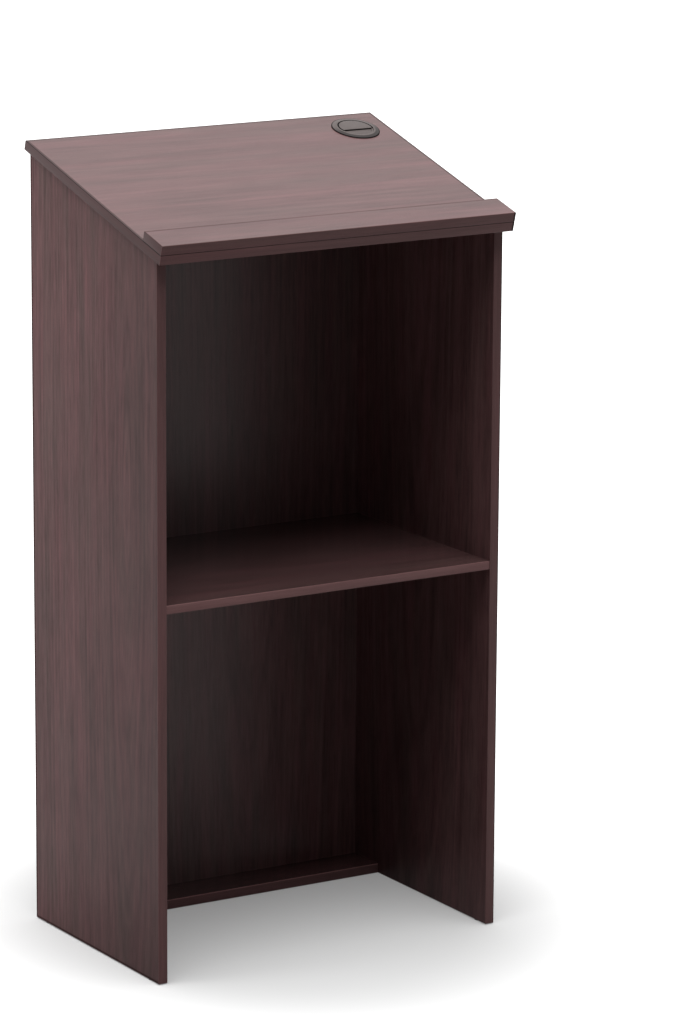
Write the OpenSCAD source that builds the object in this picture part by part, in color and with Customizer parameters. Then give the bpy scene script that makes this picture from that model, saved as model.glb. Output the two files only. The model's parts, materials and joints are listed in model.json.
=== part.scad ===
// A floor-standing lectern in dark wood-grain boards: two side panels carry a sloping desk with
// a stop rail, one shelf and a foot board, and a thin panel closes the back.
// X runs to the user's right, Y from the user to the audience and Z up. The floor is z = 0.

/* [Stand] */
// Width over the two side panels
stand_w = 588; // [500:1:760]
// Depth at the floor, with the back panel
stand_d = 382; // [320:1:480]
// Height of the side panels' front edge above the floor
front_h = 1080; // [900:1:1150]
// Slope of the desk in degrees
slope = 15.5; // [8:0.5:22]
// Thickness of the side panels, the desk, the stop rail and the foot board
board_t = 15; // [15:0.5:19]
// Thickness of the back panel
back_t = 3; // [2.5:0.1:5]
// How far the back panel's two sides stay inside the stand's width
back_inset = 1; // [0.5:0.1:3]

/* [Desk] */
// How far the desk stands past each side panel
desk_side_overhang = 6; // [3:0.5:30]
// How far the desk stands past the side panels' front, along the slope
desk_front_overhang = 19; // [10:0.5:40]
// How far the desk stands past the back panel, along the slope
desk_back_overhang = 6; // [3:0.5:30]
// Depth of the stop rail along the slope
rail_d = 54; // [40:1:80]

/* [Shelf and foot board] */
// Height of the shelf's top face above the floor
shelf_top_h = 572; // [450:1:700]
// Thickness of the shelf
shelf_t = 13; // [12.5:0.5:19]
// How far the shelf's front edge lies behind the side panels' front
shelf_setback = 1; // [0:0.5:60]
// Depth of the foot board
foot_board_d = 69; // [60:1:140]

/* [Edging] */
// Thickness of the plastic edging strips
edging_t = 1; // [1:0.1:2]
// Radius of the edging's two outer edges
edging_r = 0.8; // [0.3:0.1:0.9]

/* [Cam fittings] */
// Diameter of the cam bolts' threaded end
bolt_thread_d = 6; // [5:0.1:6.4]
// Length of the threaded end, inside the board's face
bolt_thread_l = 11; // [9:0.5:12]
// Diameter of the cam bolts' shank
bolt_shank_d = 5.2; // [4.6:0.1:5.6]
// Diameter of the neck behind the cam bolt's head
bolt_neck_d = 3.4; // [2.8:0.1:4]
// Diameter of the cam bolt's head
bolt_head_d = 6; // [5:0.1:6.2]
// Length of the cam bolt's head
bolt_head_l = 3; // [2.4:0.1:3.4]
// Diameter of the drilled hole that the shank lies in
bolt_bore_d = 7; // [6.6:0.1:7.4]
// Distance from the joint to the cam's centre
cam_reach = 24; // [20:0.5:34]
// Diameter of the holes for the cam locks in the side panels and the foot board
cam_d = 15; // [13:0.5:16]
// Depth of those holes
cam_h = 12; // [11.5:0.1:12.5]
// Diameter of the holes for the cam locks in the shelf
shelf_cam_d = 12; // [11:0.5:14]
// Depth of those holes
shelf_cam_h = 10.8; // [10.6:0.1:11.2]
// Distance of the outer cam bolts from the front and back ends of a joint
bolt_from_end = 50; // [45:1:80]
// How far a stick-on cover disc reaches past its cam lock all round
cover_margin = 1; // [0.5:0.1:2.5]
// Thickness of the cover discs
cover_t = 0.5; // [0.4:0.1:1]

/* [Dowels] */
// Diameter of the dowels in the side panels' top edges and the foot board
dowel_d = 8; // [6:0.5:9]
// Diameter of the shelf's dowels
shelf_dowel_d = 6; // [5:0.5:8]
// Length of a dowel
dowel_l = 30; // [24:1:40]
// How much of a dowel lies in the face that it locates
dowel_in_face = 10; // [8:0.5:12]
// Distance from a cam bolt to the dowel beside it
dowel_from_bolt = 32; // [24:1:36]

/* [Screws and nails] */
// Number of screws that hold the stop rail
rail_screw_count = 5; // [3:1:8]
// Distance of the outer rail screws from the side panels' inner faces
rail_screw_from_side = 39; // [20:1:80]
// Diameter of the rail screws
screw_d = 4; // [3.5:0.1:4.5]
// Diameter of the rail screws' countersunk heads
screw_head_d = 7.6; // [7:0.1:9]
// Length of the rail screws
screw_l = 25; // [22:0.5:27]
// Diameter of the back panel's nails
nail_d = 1.5; // [1.2:0.1:2]
// Diameter of their flat heads
nail_head_d = 4.4; // [3.5:0.1:6]
// Thickness of their flat heads
nail_head_t = 0.7; // [0.5:0.1:1]
// Length of the nails
nail_l = 20; // [15:1:25]
// Number of nails in each side panel
side_nail_count = 8; // [5:1:12]
// Distance of the side panels' outer nails from their ends
side_nail_from_end = 40; // [35:1:80]
// Number of nails in the shelf, and in the foot board
cross_nail_count = 3; // [2:1:5]
// Distance between those nails
cross_nail_pitch = 180; // [60:5:200]

/* [Floor glides] */
// Diameter of the nail-on glides
glide_d = 13; // [10:0.5:14.5]
// Height of the glides under the side panels
glide_h = 1.5; // [1:0.1:5]
// Diameter of a glide's own nail
glide_nail_d = 1.8; // [1.4:0.1:2.2]
// Length of a glide's own nail
glide_nail_l = 14; // [10:1:18]
// Distance of the glides from the side panels' front and back edges
glide_from_end = 30; // [30:1:34]

/* [Cable grommet] */
// Distance of the grommet's centre from the desk's right edge
grommet_from_right = 59.5; // [56:0.5:300]
// Distance of the grommet's centre from the desk's back edge, along the slope
grommet_from_back = 56; // [50:0.5:80]
// Diameter of the grommet's flange
flange_d = 75; // [73:0.5:80]
// Height of the flange above the desk
flange_h = 2.6; // [2:0.1:3]
// Height of the flange at its thin outer edge
flange_edge_h = 1.2; // [0.5:0.1:1.5]
// Width of the flange's sloping outer band
flange_band = 7; // [4:0.5:7.5]
// Diameter of the sleeve that passes through the desk
sleeve_d = 59.4; // [58.6:0.1:62]
// Depth of the sleeve below the desk's top face
sleeve_l = 20; // [19.5:0.5:30]
// Diameter of the lid
lid_d = 55.4; // [54.8:0.1:55.8]
// Depth of the ledge that the lid rests on
ledge_depth = 3; // [2.8:0.1:5]
// Width of that ledge
ledge_w = 1.9; // [1.5:0.1:2.1]
// Thickness of that ledge
ledge_t = 1.6; // [1:0.1:2.5]
// Width of the lid's rim
rim_w = 2.7; // [2.5:0.1:3]
// Height of the lid's rim above the desk
rim_h = 1.6; // [1.4:0.1:1.8]
// Depth of the lid's skirt below the ledge
skirt_l = 4.5; // [3:0.5:8]
// Height of the raised plate above the desk
plate_h = 2.9; // [2.5:0.1:3.5]
// Thickness of the raised plate's lower layer
plate_t = 0.7; // [0.6:0.1:0.8]
// How far the raised part stays inside the lid's rim
plate_step = 1.6; // [1:0.1:2.2]
// How far the plate's straight edge lies in front of the grommet's centre
chord = 6; // [4:0.1:7]
// Thickness of the turning shutter
shutter_t = 1.5; // [1.2:0.1:1.6]
// Diameter of the lid's pivot boss
pivot_d = 5; // [4:0.1:5.2]
// Diameter of the snap head under the boss
pivot_head_d = 7.2; // [6.6:0.1:8]
// Number of barbs that hold the sleeve under the desk
barb_count = 4; // [2:1:6]
// How far a barb stands out of the sleeve
barb_out = 1.4; // [0.8:0.1:1.8]

/* [Hidden] */
$fn = 48;

// Clearance all round a piece that is pushed, driven or screwed into a drilled hole
fit = 0.1;
// Play of a cam bolt's head inside its cam lock
cam_play = 0.3;
// Clearance between the desk's hole and the grommet's sleeve, and between barb and desk
sleeve_fit = 0.3;
// Clearance round the lid and the turning shutter
lid_fit = 0.3;
// Clearance of the pivot boss in the shutter's bore
pivot_fit = 0.06;
// Length by which a cutter passes the face that it cuts through
past = 1;
// Length of the cone at the tip of a nail, a screw or a cam bolt
tip_l = 2;

wood_color = "#4b3b3b";
edging_color = "#463738";
steel_color = "#b9bcc0";
zinc_color = "#9ea1a5";
beech_color = "#cfae7e";
cover_color = "#44363a";
glide_color = "#2b2828";
grommet_color = "#6f6867";

// The side panels' front faces lie where the whole lectern's box is centred on y = 0
corner_gain = edging_r * (cos(slope) + sin(slope) - 1);
foremost = -desk_front_overhang * cos(slope) - 2 * board_t * sin(slope) + corner_gain;
rearmost = stand_d + desk_back_overhang * cos(slope) - corner_gain;
front_y = -(foremost + rearmost) / 2;
rear_y = front_y + stand_d;
back_face_y = rear_y - back_t;
inner_x = stand_w / 2 - board_t;
panel_mid_x = stand_w / 2 - board_t / 2;
base_z = glide_h;

slope_l = stand_d / cos(slope);
desk_w = stand_w + 2 * desk_side_overhang;
desk_s0 = -desk_front_overhang;
desk_s1 = slope_l + desk_back_overhang;
rail_s1 = desk_s0 + rail_d;

shelf_front_y = front_y + shelf_setback;
shelf_z0 = shelf_top_h - shelf_t;
shelf_mid_z = shelf_top_h - shelf_t / 2;
foot_front_y = back_face_y - foot_board_d;
foot_mid_z = base_z + board_t / 2;

shelf_bolt_ys = [shelf_front_y + bolt_from_end, back_face_y - bolt_from_end];
shelf_dowel_ys = [shelf_bolt_ys[0] + dowel_from_bolt, shelf_bolt_ys[1] - dowel_from_bolt];
foot_mid_y = back_face_y - foot_board_d / 2;
desk_joint_l = (stand_d - back_t) / cos(slope);
desk_bolt_ss = [bolt_from_end, desk_joint_l - bolt_from_end];
desk_dowel_ss = [desk_bolt_ss[0] + dowel_from_bolt, desk_bolt_ss[1] - dowel_from_bolt];

grommet_x = desk_w / 2 - grommet_from_right;
grommet_s = desk_s1 - grommet_from_back;
sleeve_r = sleeve_d / 2;
ring_in_r = lid_d / 2 + lid_fit;
ledge_r = ring_in_r - ledge_w;
rim_in_r = lid_d / 2 - rim_w;
shutter_r = rim_in_r - lid_fit;
shutter_z1 = rim_h - plate_t - lid_fit;
shutter_z0 = shutter_z1 - shutter_t;

// Height of the side panels' sloping top edge at a given y
function top_z(y) = front_h + (y - front_y) * tan(slope);

// Evenly spaced values from first to last
function spread(first, last, count) =
    [for (i = [0:count - 1]) first + (last - first) * i / (count - 1)];

// The desk's own frame: Y runs up the slope from the side panels' front edge, and z = 0 is the underside
module on_slope() {
    translate([0, front_y, front_h]) rotate([slope, 0, 0]) children();
}

// The grommet's own frame: z = 0 is the desk's top face at the grommet's centre
module at_grommet() {
    on_slope() translate([grommet_x, grommet_s, board_t]) children();
}

// What is drawn for the left side, and the same mirrored for the right
module both_sides() {
    children();
    mirror([1, 0, 0]) children();
}

// Places of the fittings on the left side. Z of each leaves the face that the piece is driven into.
module at_shelf_bolts() {
    for (y = shelf_bolt_ys) translate([-inner_x, y, shelf_mid_z]) rotate([0, 90, 0]) children();
}
module at_shelf_dowels() {
    for (y = shelf_dowel_ys) translate([-inner_x, y, shelf_mid_z]) rotate([0, 90, 0]) children();
}
module at_foot_bolt() {
    translate([-inner_x, foot_mid_y - dowel_from_bolt / 2, foot_mid_z]) rotate([0, 90, 0]) children();
}
module at_foot_dowel() {
    translate([-inner_x, foot_mid_y + dowel_from_bolt / 2, foot_mid_z]) rotate([0, 90, 0]) children();
}
module at_desk_bolts() {
    on_slope() for (s = desk_bolt_ss) translate([-panel_mid_x, s, 0]) rotate([180, 0, 0]) children();
}
module at_desk_dowels() {
    on_slope() for (s = desk_dowel_ss) translate([-panel_mid_x, s, 0]) rotate([180, 0, 0]) children();
}
module at_glides() {
    for (y = [front_y + glide_from_end, back_face_y - glide_from_end])
        translate([-panel_mid_x, y, base_z]) children();
}

// Places of the nails, with Z into the wood, from the back panel's rear face
module at_side_nails() {
    z_low = base_z + side_nail_from_end;
    z_high = top_z(back_face_y) - side_nail_from_end;
    for (z = spread(z_low, z_high, side_nail_count))
        translate([-panel_mid_x, rear_y, z]) rotate([90, 0, 0]) children();
}
module at_cross_nails(z) {
    half = cross_nail_pitch * (cross_nail_count - 1) / 2;
    for (x = spread(-half, half, cross_nail_count))
        translate([x, rear_y, z]) rotate([90, 0, 0]) children();
}

// Places of the rail screws, with Z up through the desk
module at_rail_screws() {
    x_end = inner_x - rail_screw_from_side;
    on_slope() for (x = spread(-x_end, x_end, rail_screw_count))
        translate([x, desk_s0 + rail_d / 2, 0]) children();
}

// A cam bolt along Z: thread below z = 0, then collar, shank, neck and head. grow is added all round.
module cam_bolt(grow = 0) {
    thread_r = bolt_thread_d / 2 + grow;
    shank_r = bolt_shank_d / 2 + grow;
    neck_r = bolt_neck_d / 2 + grow;
    head_r = bolt_head_d / 2 + grow;
    neck_z = cam_reach - 2 * bolt_head_l;
    head_z = cam_reach - bolt_head_l / 2;
    rotate_extrude() polygon([
        [0, -bolt_thread_l - grow],
        [thread_r / 2, -bolt_thread_l - grow],
        [thread_r, -bolt_thread_l + tip_l - grow],
        [thread_r, 0],
        [shank_r, 0],
        [shank_r, neck_z],
        [neck_r, neck_z],
        [neck_r, head_z - grow],
        [head_r, head_z - grow],
        [head_r, head_z + bolt_head_l + grow],
        [0, head_z + bolt_head_l + grow]
    ]);
}

// The hole for a cam bolt's threaded end, in the board whose face is z = 0
module thread_hole() {
    r = bolt_thread_d / 2 + fit;
    rotate_extrude() polygon([
        [0, -bolt_thread_l - fit], [r / 2, -bolt_thread_l - fit],
        [r, -bolt_thread_l + tip_l - fit], [r, past], [0, past]
    ]);
}

// The drilled hole that a cam bolt's shank lies in, from the joint to the cam's centre
module bolt_bore() {
    translate([0, 0, -past]) cylinder(d = bolt_bore_d, h = cam_reach + past);
}

// The hole for a cam lock, square to the bolt. face is the distance from the bolt to the board's face.
module cam_hole(d, h, face) {
    translate([face - h, 0, cam_reach]) rotate([0, 90, 0]) cylinder(d = d, h = h + past);
}

// A cam lock round the bolt's head, with a crossed driver slot in its outer face
module cam_lock(d, h, face) {
    slot_w = 1.4;
    slot_l = 0.6 * d;
    slot_depth = 1.5;
    difference() {
        translate([face - h + fit, 0, cam_reach]) rotate([0, 90, 0]) cylinder(d = d - 2 * fit, h = h - fit);
        cam_bolt(cam_play);
        translate([face - slot_depth, 0, cam_reach]) for (turn = [0, 90]) rotate([turn, 0, 0])
            translate([0, -slot_w / 2, -slot_l / 2]) cube([slot_depth + past, slot_w, slot_l]);
    }
}

// A stick-on disc over a cam lock
module cam_cover(d, face) {
    translate([face, 0, cam_reach]) rotate([0, 90, 0]) cylinder(d = d + 2 * cover_margin, h = cover_t);
}

// A dowel with bevelled ends across the joint at z = 0. grow is added all round.
module dowel(d, grow = 0) {
    r = d / 2 + grow;
    bevel = 1;
    z0 = -dowel_in_face - grow;
    z1 = dowel_l - dowel_in_face + grow;
    rotate_extrude() polygon([[0, z0], [r - bevel, z0], [r, z0 + bevel], [r, z1 - bevel], [r - bevel, z1], [0, z1]]);
}

// A flat-headed nail with its head's outer face at z = 0. grow is added all round.
module nail(grow = 0) {
    r = nail_d / 2 + grow;
    head_r = nail_head_d / 2 + grow;
    rotate_extrude() polygon([
        [0, -grow], [head_r, -grow], [head_r, nail_head_t], [r, nail_head_t],
        [r, nail_l - tip_l + grow], [0, nail_l + grow]
    ]);
}

// A countersunk screw with its head's outer face at z = 0. grow is added all round.
module screw(grow = 0) {
    r = screw_d / 2 + grow;
    head_r = screw_head_d / 2 + grow;
    rotate_extrude() polygon([
        [0, -grow], [head_r, -grow], [head_r, 0], [r, head_r - r],
        [r, screw_l - 2 * tip_l + grow], [0, screw_l + grow]
    ]);
}

// A rail screw with its crossed driver slot
module rail_screw() {
    slot_w = 1;
    slot_l = screw_d;
    slot_depth = 1.2;
    difference() {
        screw();
        for (turn = [0, 90]) rotate([0, 0, turn])
            translate([-slot_l / 2, -slot_w / 2, -past]) cube([slot_l, slot_w, slot_depth + past]);
    }
}

// A nail-on glide below z = 0 with its nail above
module glide() {
    r = glide_nail_d / 2;
    rotate_extrude() polygon([
        [0, -glide_h], [glide_d / 2, -glide_h], [glide_d / 2, 0], [r, 0],
        [r, glide_nail_l - tip_l], [0, glide_nail_l]
    ]);
}

// The hole for a glide's nail
module glide_hole() {
    r = glide_nail_d / 2 + fit;
    rotate_extrude() polygon([[0, -past], [r, -past], [r, glide_nail_l - tip_l + fit], [0, glide_nail_l + fit]]);
}

// Cross-section of an edging strip: its outer face is x = 0, and its two outer edges are round
module strip_profile(width) {
    intersection() {
        square([edging_t, width]);
        union() {
            translate([edging_r, 0]) square([edging_t, width]);
            translate([0, edging_r]) square([edging_t, width - 2 * edging_r]);
            for (y = [edging_r, width - edging_r]) translate([edging_r, y]) circle(edging_r);
        }
    }
}

// An edging strip along X, with its outer face at y = 0
module strip_x(length, width) {
    rotate([90, 0, 90]) linear_extrude(length) strip_profile(width);
}

// An edging strip along Y, with its outer face at x = 0
module strip_y(length, width) {
    translate([0, length, 0]) rotate([90, 0, 0]) linear_extrude(length) strip_profile(width);
}

// The four edging strips of a board of the desk's width that lies between s0 and s1, with its underside at z
module front_strip(s0, z) {
    on_slope() translate([-desk_w / 2, s0, z]) strip_x(desk_w, board_t);
}
module rear_strip(s1, z) {
    on_slope() translate([-desk_w / 2, s1, z]) mirror([0, 1, 0]) strip_x(desk_w, board_t);
}
module left_strip(s0, s1, z) {
    on_slope() translate([-desk_w / 2, s0 + edging_t, z]) strip_y(s1 - s0 - 2 * edging_t, board_t);
}

// The core of such a board
module sloped_core(s0, s1, z) {
    translate([-desk_w / 2 + edging_t, s0 + edging_t, z])
        cube([desk_w - 2 * edging_t, s1 - s0 - 2 * edging_t, board_t]);
}

// What lies above the side panels' sloping top edges
module above_slope() {
    on_slope() translate([-stand_w, -stand_d, 0]) cube([2 * stand_w, 3 * stand_d, stand_d]);
}

// The left side panel, drilled for everything that it carries
module side_panel() {
    y0 = front_y + edging_t;
    z0 = base_z + edging_t;
    difference() {
        translate([-stand_w / 2, y0, z0]) cube([board_t, back_face_y - y0, top_z(back_face_y) - z0]);
        above_slope();
        at_shelf_bolts() thread_hole();
        at_shelf_dowels() dowel(shelf_dowel_d, fit);
        at_foot_bolt() thread_hole();
        at_foot_dowel() dowel(dowel_d, fit);
        at_desk_bolts() bolt_bore();
        at_desk_bolts() cam_hole(cam_d, cam_h, board_t / 2);
        at_desk_dowels() dowel(dowel_d, fit);
        at_side_nails() nail(fit);
        at_glides() glide_hole();
    }
}

// The edging on a side panel's front, cut off along the slope at its top
module side_front_edging() {
    difference() {
        translate([-inner_x, front_y, base_z]) rotate([0, -90, 0])
            strip_x(front_h + board_t - base_z, board_t);
        above_slope();
    }
}

// The edging on a side panel's bottom, behind the front strip
module side_bottom_edging() {
    difference() {
        translate([-inner_x, front_y + edging_t, base_z]) rotate([0, -90, 0])
            strip_y(back_face_y - front_y - edging_t, board_t);
        at_glides() glide_hole();
    }
}

module left_side_panel() {
    color(wood_color) side_panel();
}
module right_side_panel() {
    color(wood_color) mirror([1, 0, 0]) side_panel();
}

module desk_top() {
    color(wood_color) difference() {
        on_slope() sloped_core(desk_s0, desk_s1, 0);
        both_sides() at_desk_bolts() thread_hole();
        both_sides() at_desk_dowels() dowel(dowel_d, fit);
        at_rail_screws() screw(fit);
        at_grommet() translate([0, 0, -board_t - past])
            cylinder(d = sleeve_d + 2 * sleeve_fit, h = board_t + 2 * past);
    }
}

module stop_rail() {
    color(wood_color) difference() {
        on_slope() sloped_core(desk_s0, rail_s1, board_t);
        at_rail_screws() screw(fit);
    }
}

module shelf() {
    color(wood_color) difference() {
        translate([-inner_x, shelf_front_y + edging_t, shelf_z0])
            cube([2 * inner_x, back_face_y - shelf_front_y - edging_t, shelf_t]);
        both_sides() at_shelf_bolts() bolt_bore();
        both_sides() at_shelf_bolts() cam_hole(shelf_cam_d, shelf_cam_h, shelf_t / 2);
        both_sides() at_shelf_dowels() dowel(shelf_dowel_d, fit);
        at_cross_nails(shelf_mid_z) nail(fit);
    }
}

module foot_board() {
    color(wood_color) difference() {
        translate([-inner_x, foot_front_y + edging_t, base_z])
            cube([2 * inner_x, foot_board_d - edging_t, board_t]);
        both_sides() at_foot_bolt() bolt_bore();
        both_sides() at_foot_bolt() cam_hole(cam_d, cam_h, board_t / 2);
        both_sides() at_foot_dowel() dowel(dowel_d, fit);
        at_cross_nails(foot_mid_z) nail(fit);
    }
}

module back_panel() {
    back_w = stand_w - 2 * back_inset;
    color(wood_color) difference() {
        translate([-back_w / 2, back_face_y, base_z]) cube([back_w, back_t, top_z(back_face_y) - base_z]);
        both_sides() at_side_nails() nail(fit);
        at_cross_nails(shelf_mid_z) nail(fit);
        at_cross_nails(foot_mid_z) nail(fit);
    }
}

module left_side_front_edging() {
    color(edging_color) side_front_edging();
}
module left_side_bottom_edging() {
    color(edging_color) side_bottom_edging();
}
module right_side_front_edging() {
    color(edging_color) mirror([1, 0, 0]) side_front_edging();
}
module right_side_bottom_edging() {
    color(edging_color) mirror([1, 0, 0]) side_bottom_edging();
}

module desk_front_edging() {
    color(edging_color) front_strip(desk_s0, 0);
}
module desk_rear_edging() {
    color(edging_color) rear_strip(desk_s1, 0);
}
module desk_left_edging() {
    color(edging_color) left_strip(desk_s0, desk_s1, 0);
}
module desk_right_edging() {
    color(edging_color) mirror([1, 0, 0]) left_strip(desk_s0, desk_s1, 0);
}

module rail_front_edging() {
    color(edging_color) front_strip(desk_s0, board_t);
}
module rail_rear_edging() {
    color(edging_color) rear_strip(rail_s1, board_t);
}
module rail_left_edging() {
    color(edging_color) left_strip(desk_s0, rail_s1, board_t);
}
module rail_right_edging() {
    color(edging_color) mirror([1, 0, 0]) left_strip(desk_s0, rail_s1, board_t);
}

module shelf_front_edging() {
    color(edging_color) translate([-inner_x, shelf_front_y, shelf_z0]) strip_x(2 * inner_x, shelf_t);
}
module foot_board_front_edging() {
    color(edging_color) translate([-inner_x, foot_front_y, base_z]) strip_x(2 * inner_x, board_t);
}

module shelf_cam_bolts() {
    color(steel_color) both_sides() at_shelf_bolts() cam_bolt();
}
module shelf_cam_locks() {
    color(zinc_color) both_sides() at_shelf_bolts() cam_lock(shelf_cam_d, shelf_cam_h, shelf_t / 2);
}
module shelf_dowels() {
    color(beech_color) both_sides() at_shelf_dowels() dowel(shelf_dowel_d);
}
module foot_board_cam_bolts() {
    color(steel_color) both_sides() at_foot_bolt() cam_bolt();
}
module foot_board_cam_locks() {
    color(zinc_color) both_sides() at_foot_bolt() cam_lock(cam_d, cam_h, board_t / 2);
}
module foot_board_dowels() {
    color(beech_color) both_sides() at_foot_dowel() dowel(dowel_d);
}
module desk_cam_bolts() {
    color(steel_color) both_sides() at_desk_bolts() cam_bolt();
}
module desk_cam_locks() {
    color(zinc_color) both_sides() at_desk_bolts() cam_lock(cam_d, cam_h, board_t / 2);
}
module desk_dowels() {
    color(beech_color) both_sides() at_desk_dowels() dowel(dowel_d);
}
module cam_covers() {
    color(cover_color) both_sides() {
        at_shelf_bolts() cam_cover(shelf_cam_d, shelf_t / 2);
        at_desk_bolts() cam_cover(cam_d, board_t / 2);
    }
}
module rail_screws() {
    color(steel_color) at_rail_screws() rail_screw();
}
module back_panel_nails() {
    color(steel_color) {
        both_sides() at_side_nails() nail();
        at_cross_nails(shelf_mid_z) nail();
        at_cross_nails(foot_mid_z) nail();
    }
}
module floor_glides() {
    color(glide_color) both_sides() at_glides() glide();
}

// The grommet's fixed ring: a flange with a sloping outer band, a sleeve through the desk,
// a ledge for the lid and barbs that catch under the desk
module grommet_ring() {
    barb_z = -board_t - sleeve_fit;
    barb_turn = 24;
    color(grommet_color) at_grommet() {
        rotate_extrude() polygon([
            [ring_in_r, flange_h],
            [flange_d / 2 - flange_band, flange_h],
            [flange_d / 2, flange_edge_h],
            [flange_d / 2, 0],
            [sleeve_r, 0],
            [sleeve_r, -sleeve_l],
            [ring_in_r, -sleeve_l],
            [ring_in_r, -ledge_depth - ledge_t],
            [ledge_r, -ledge_depth - ledge_t],
            [ledge_r, -ledge_depth],
            [ring_in_r, -ledge_depth]
        ]);
        for (i = [0:barb_count - 1]) rotate([0, 0, 360 * (i + 0.5) / barb_count - barb_turn / 2])
            rotate_extrude(angle = barb_turn) polygon([
                [ring_in_r + (sleeve_r - ring_in_r) / 2, barb_z],
                [sleeve_r + barb_out, barb_z],
                [sleeve_r, -sleeve_l],
                [ring_in_r + (sleeve_r - ring_in_r) / 2, -sleeve_l]
            ]);
    }
}

// Half plane on the audience's side of a line that lies edge in front of the centre
module behind_line(edge) {
    translate([-lid_d, -edge]) square([2 * lid_d, 2 * lid_d]);
}

// The lid: a rim with a skirt, a raised plate over its back part and a pivot boss for the shutter
module grommet_lid() {
    lid_r = lid_d / 2;
    skirt_r = ledge_r - lid_fit;
    seat_w = 1.2;
    seat_r = rim_in_r - seat_w;
    seat_z = shutter_z0 - lid_fit;
    head_t = 1.2;
    color(grommet_color) at_grommet() {
        rotate_extrude() polygon([
            [rim_in_r, rim_h],
            [lid_r, rim_h],
            [lid_r, -ledge_depth],
            [skirt_r, -ledge_depth],
            [skirt_r, -ledge_depth - skirt_l],
            [rim_in_r, -ledge_depth - skirt_l],
            [rim_in_r, seat_z - head_t],
            [seat_r, seat_z - head_t],
            [seat_r, seat_z],
            [rim_in_r, seat_z]
        ]);
        translate([0, 0, rim_h - plate_t]) linear_extrude(plate_t) intersection() {
            circle(lid_r);
            behind_line(chord);
        }
        translate([0, 0, rim_h]) linear_extrude(plate_h - rim_h) intersection() {
            circle(lid_r - plate_step);
            behind_line(chord);
        }
        translate([0, 0, seat_z]) cylinder(d = pivot_d, h = rim_h - plate_t / 2 - seat_z);
        translate([0, 0, seat_z - head_t]) cylinder(d = pivot_head_d, h = head_t);
    }
}

// The half-round shutter, which closes the lid's front opening and turns away under the raised plate
module grommet_shutter() {
    hub_d = 2 * pivot_head_d - pivot_d;
    rib_l = 24;
    rib_w = 1.2;
    rib_h = lid_fit / 2;
    rib_from_rim = 6;
    color(grommet_color) at_grommet() difference() {
        union() {
            translate([0, 0, shutter_z0]) linear_extrude(shutter_t) {
                difference() {
                    circle(shutter_r);
                    behind_line(lid_fit);
                }
                circle(d = hub_d);
            }
            translate([-rib_l / 2, rib_from_rim - shutter_r, shutter_z0])
                cube([rib_l, rib_w, shutter_t + rib_h]);
        }
        translate([0, 0, shutter_z0 - past]) cylinder(r = pivot_d / 2 + pivot_fit, h = shutter_t + 2 * past);
    }
}

left_side_panel();
right_side_panel();
desk_top();
stop_rail();
shelf();
foot_board();
back_panel();
left_side_front_edging();
left_side_bottom_edging();
right_side_front_edging();
right_side_bottom_edging();
desk_front_edging();
desk_rear_edging();
desk_left_edging();
desk_right_edging();
rail_front_edging();
rail_rear_edging();
rail_left_edging();
rail_right_edging();
shelf_front_edging();
foot_board_front_edging();
shelf_cam_bolts();
shelf_cam_locks();
shelf_dowels();
foot_board_cam_bolts();
foot_board_cam_locks();
foot_board_dowels();
desk_cam_bolts();
desk_cam_locks();
desk_dowels();
cam_covers();
rail_screws();
back_panel_nails();
floor_glides();
grommet_ring();
grommet_lid();
grommet_shutter();
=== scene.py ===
"""Dresses the packed lectern: a dark wood print with a satin finish on its boards, eased edging
strips, a moulded cable grommet, plated fittings, and a pale studio round it."""

import json
import math

import bpy
import numpy as np
from bpy.props import FloatProperty, FloatVectorProperty, PointerProperty
from mathutils import Matrix, Vector


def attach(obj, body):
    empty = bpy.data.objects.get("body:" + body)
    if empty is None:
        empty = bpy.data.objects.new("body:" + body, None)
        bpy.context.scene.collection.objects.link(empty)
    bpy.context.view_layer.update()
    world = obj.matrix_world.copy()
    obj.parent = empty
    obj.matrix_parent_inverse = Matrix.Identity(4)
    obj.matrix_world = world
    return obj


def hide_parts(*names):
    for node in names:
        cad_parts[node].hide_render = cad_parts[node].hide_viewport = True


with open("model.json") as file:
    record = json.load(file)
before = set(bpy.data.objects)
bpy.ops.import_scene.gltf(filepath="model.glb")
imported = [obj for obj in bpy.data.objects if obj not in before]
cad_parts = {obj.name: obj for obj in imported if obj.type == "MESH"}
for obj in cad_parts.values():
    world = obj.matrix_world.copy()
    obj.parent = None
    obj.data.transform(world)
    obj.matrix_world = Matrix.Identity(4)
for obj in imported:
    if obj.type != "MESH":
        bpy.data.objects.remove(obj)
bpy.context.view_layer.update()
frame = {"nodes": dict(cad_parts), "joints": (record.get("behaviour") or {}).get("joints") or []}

bl_info = {
    "name": "Lectern dresser",
    "version": (1, 0, 0),
    "blender": (4, 5, 0),
    "location": "3D View > Sidebar > Lectern",
    "description": "Finishes a sloping-desk lectern round its packed solids",
    "category": "Object",
}

# Axes that the whole lectern is described in
X, Y, Z = np.eye(3)
JOINTS = {joint["name"]: joint for joint in frame["joints"]}
DESK_NORMAL = np.array(JOINTS["lid_lift"]["axis"])
UP_SLOPE = np.cross(DESK_NORMAL, X)
DESK_AXES = np.array([X, UP_SLOPE, DESK_NORMAL])
GROMMET_CENTRE = np.array(JOINTS["shutter_turn"]["pos_m"])

# Height at which a board whose painted light fades along it has its own tone
MIDDLE = 0.55

# Steps of a fillet, points round a whole turn, and the angle from which an edge stays sharp
FILLET_STEPS = 5
TURN_STEPS = 128
SHARP_ANGLE = math.radians(32)


def own_axes(along, outward):
    """Rows of a piece's own axes: along, outward and their cross product."""
    return np.array([along, outward, np.cross(along, outward)])


def mesh_points(mesh):
    """The places of a mesh's points, one in a row."""
    points = np.empty(3 * len(mesh.vertices), np.float32)
    mesh.vertices.foreach_get("co", points)
    return points.reshape(-1, 3)


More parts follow.
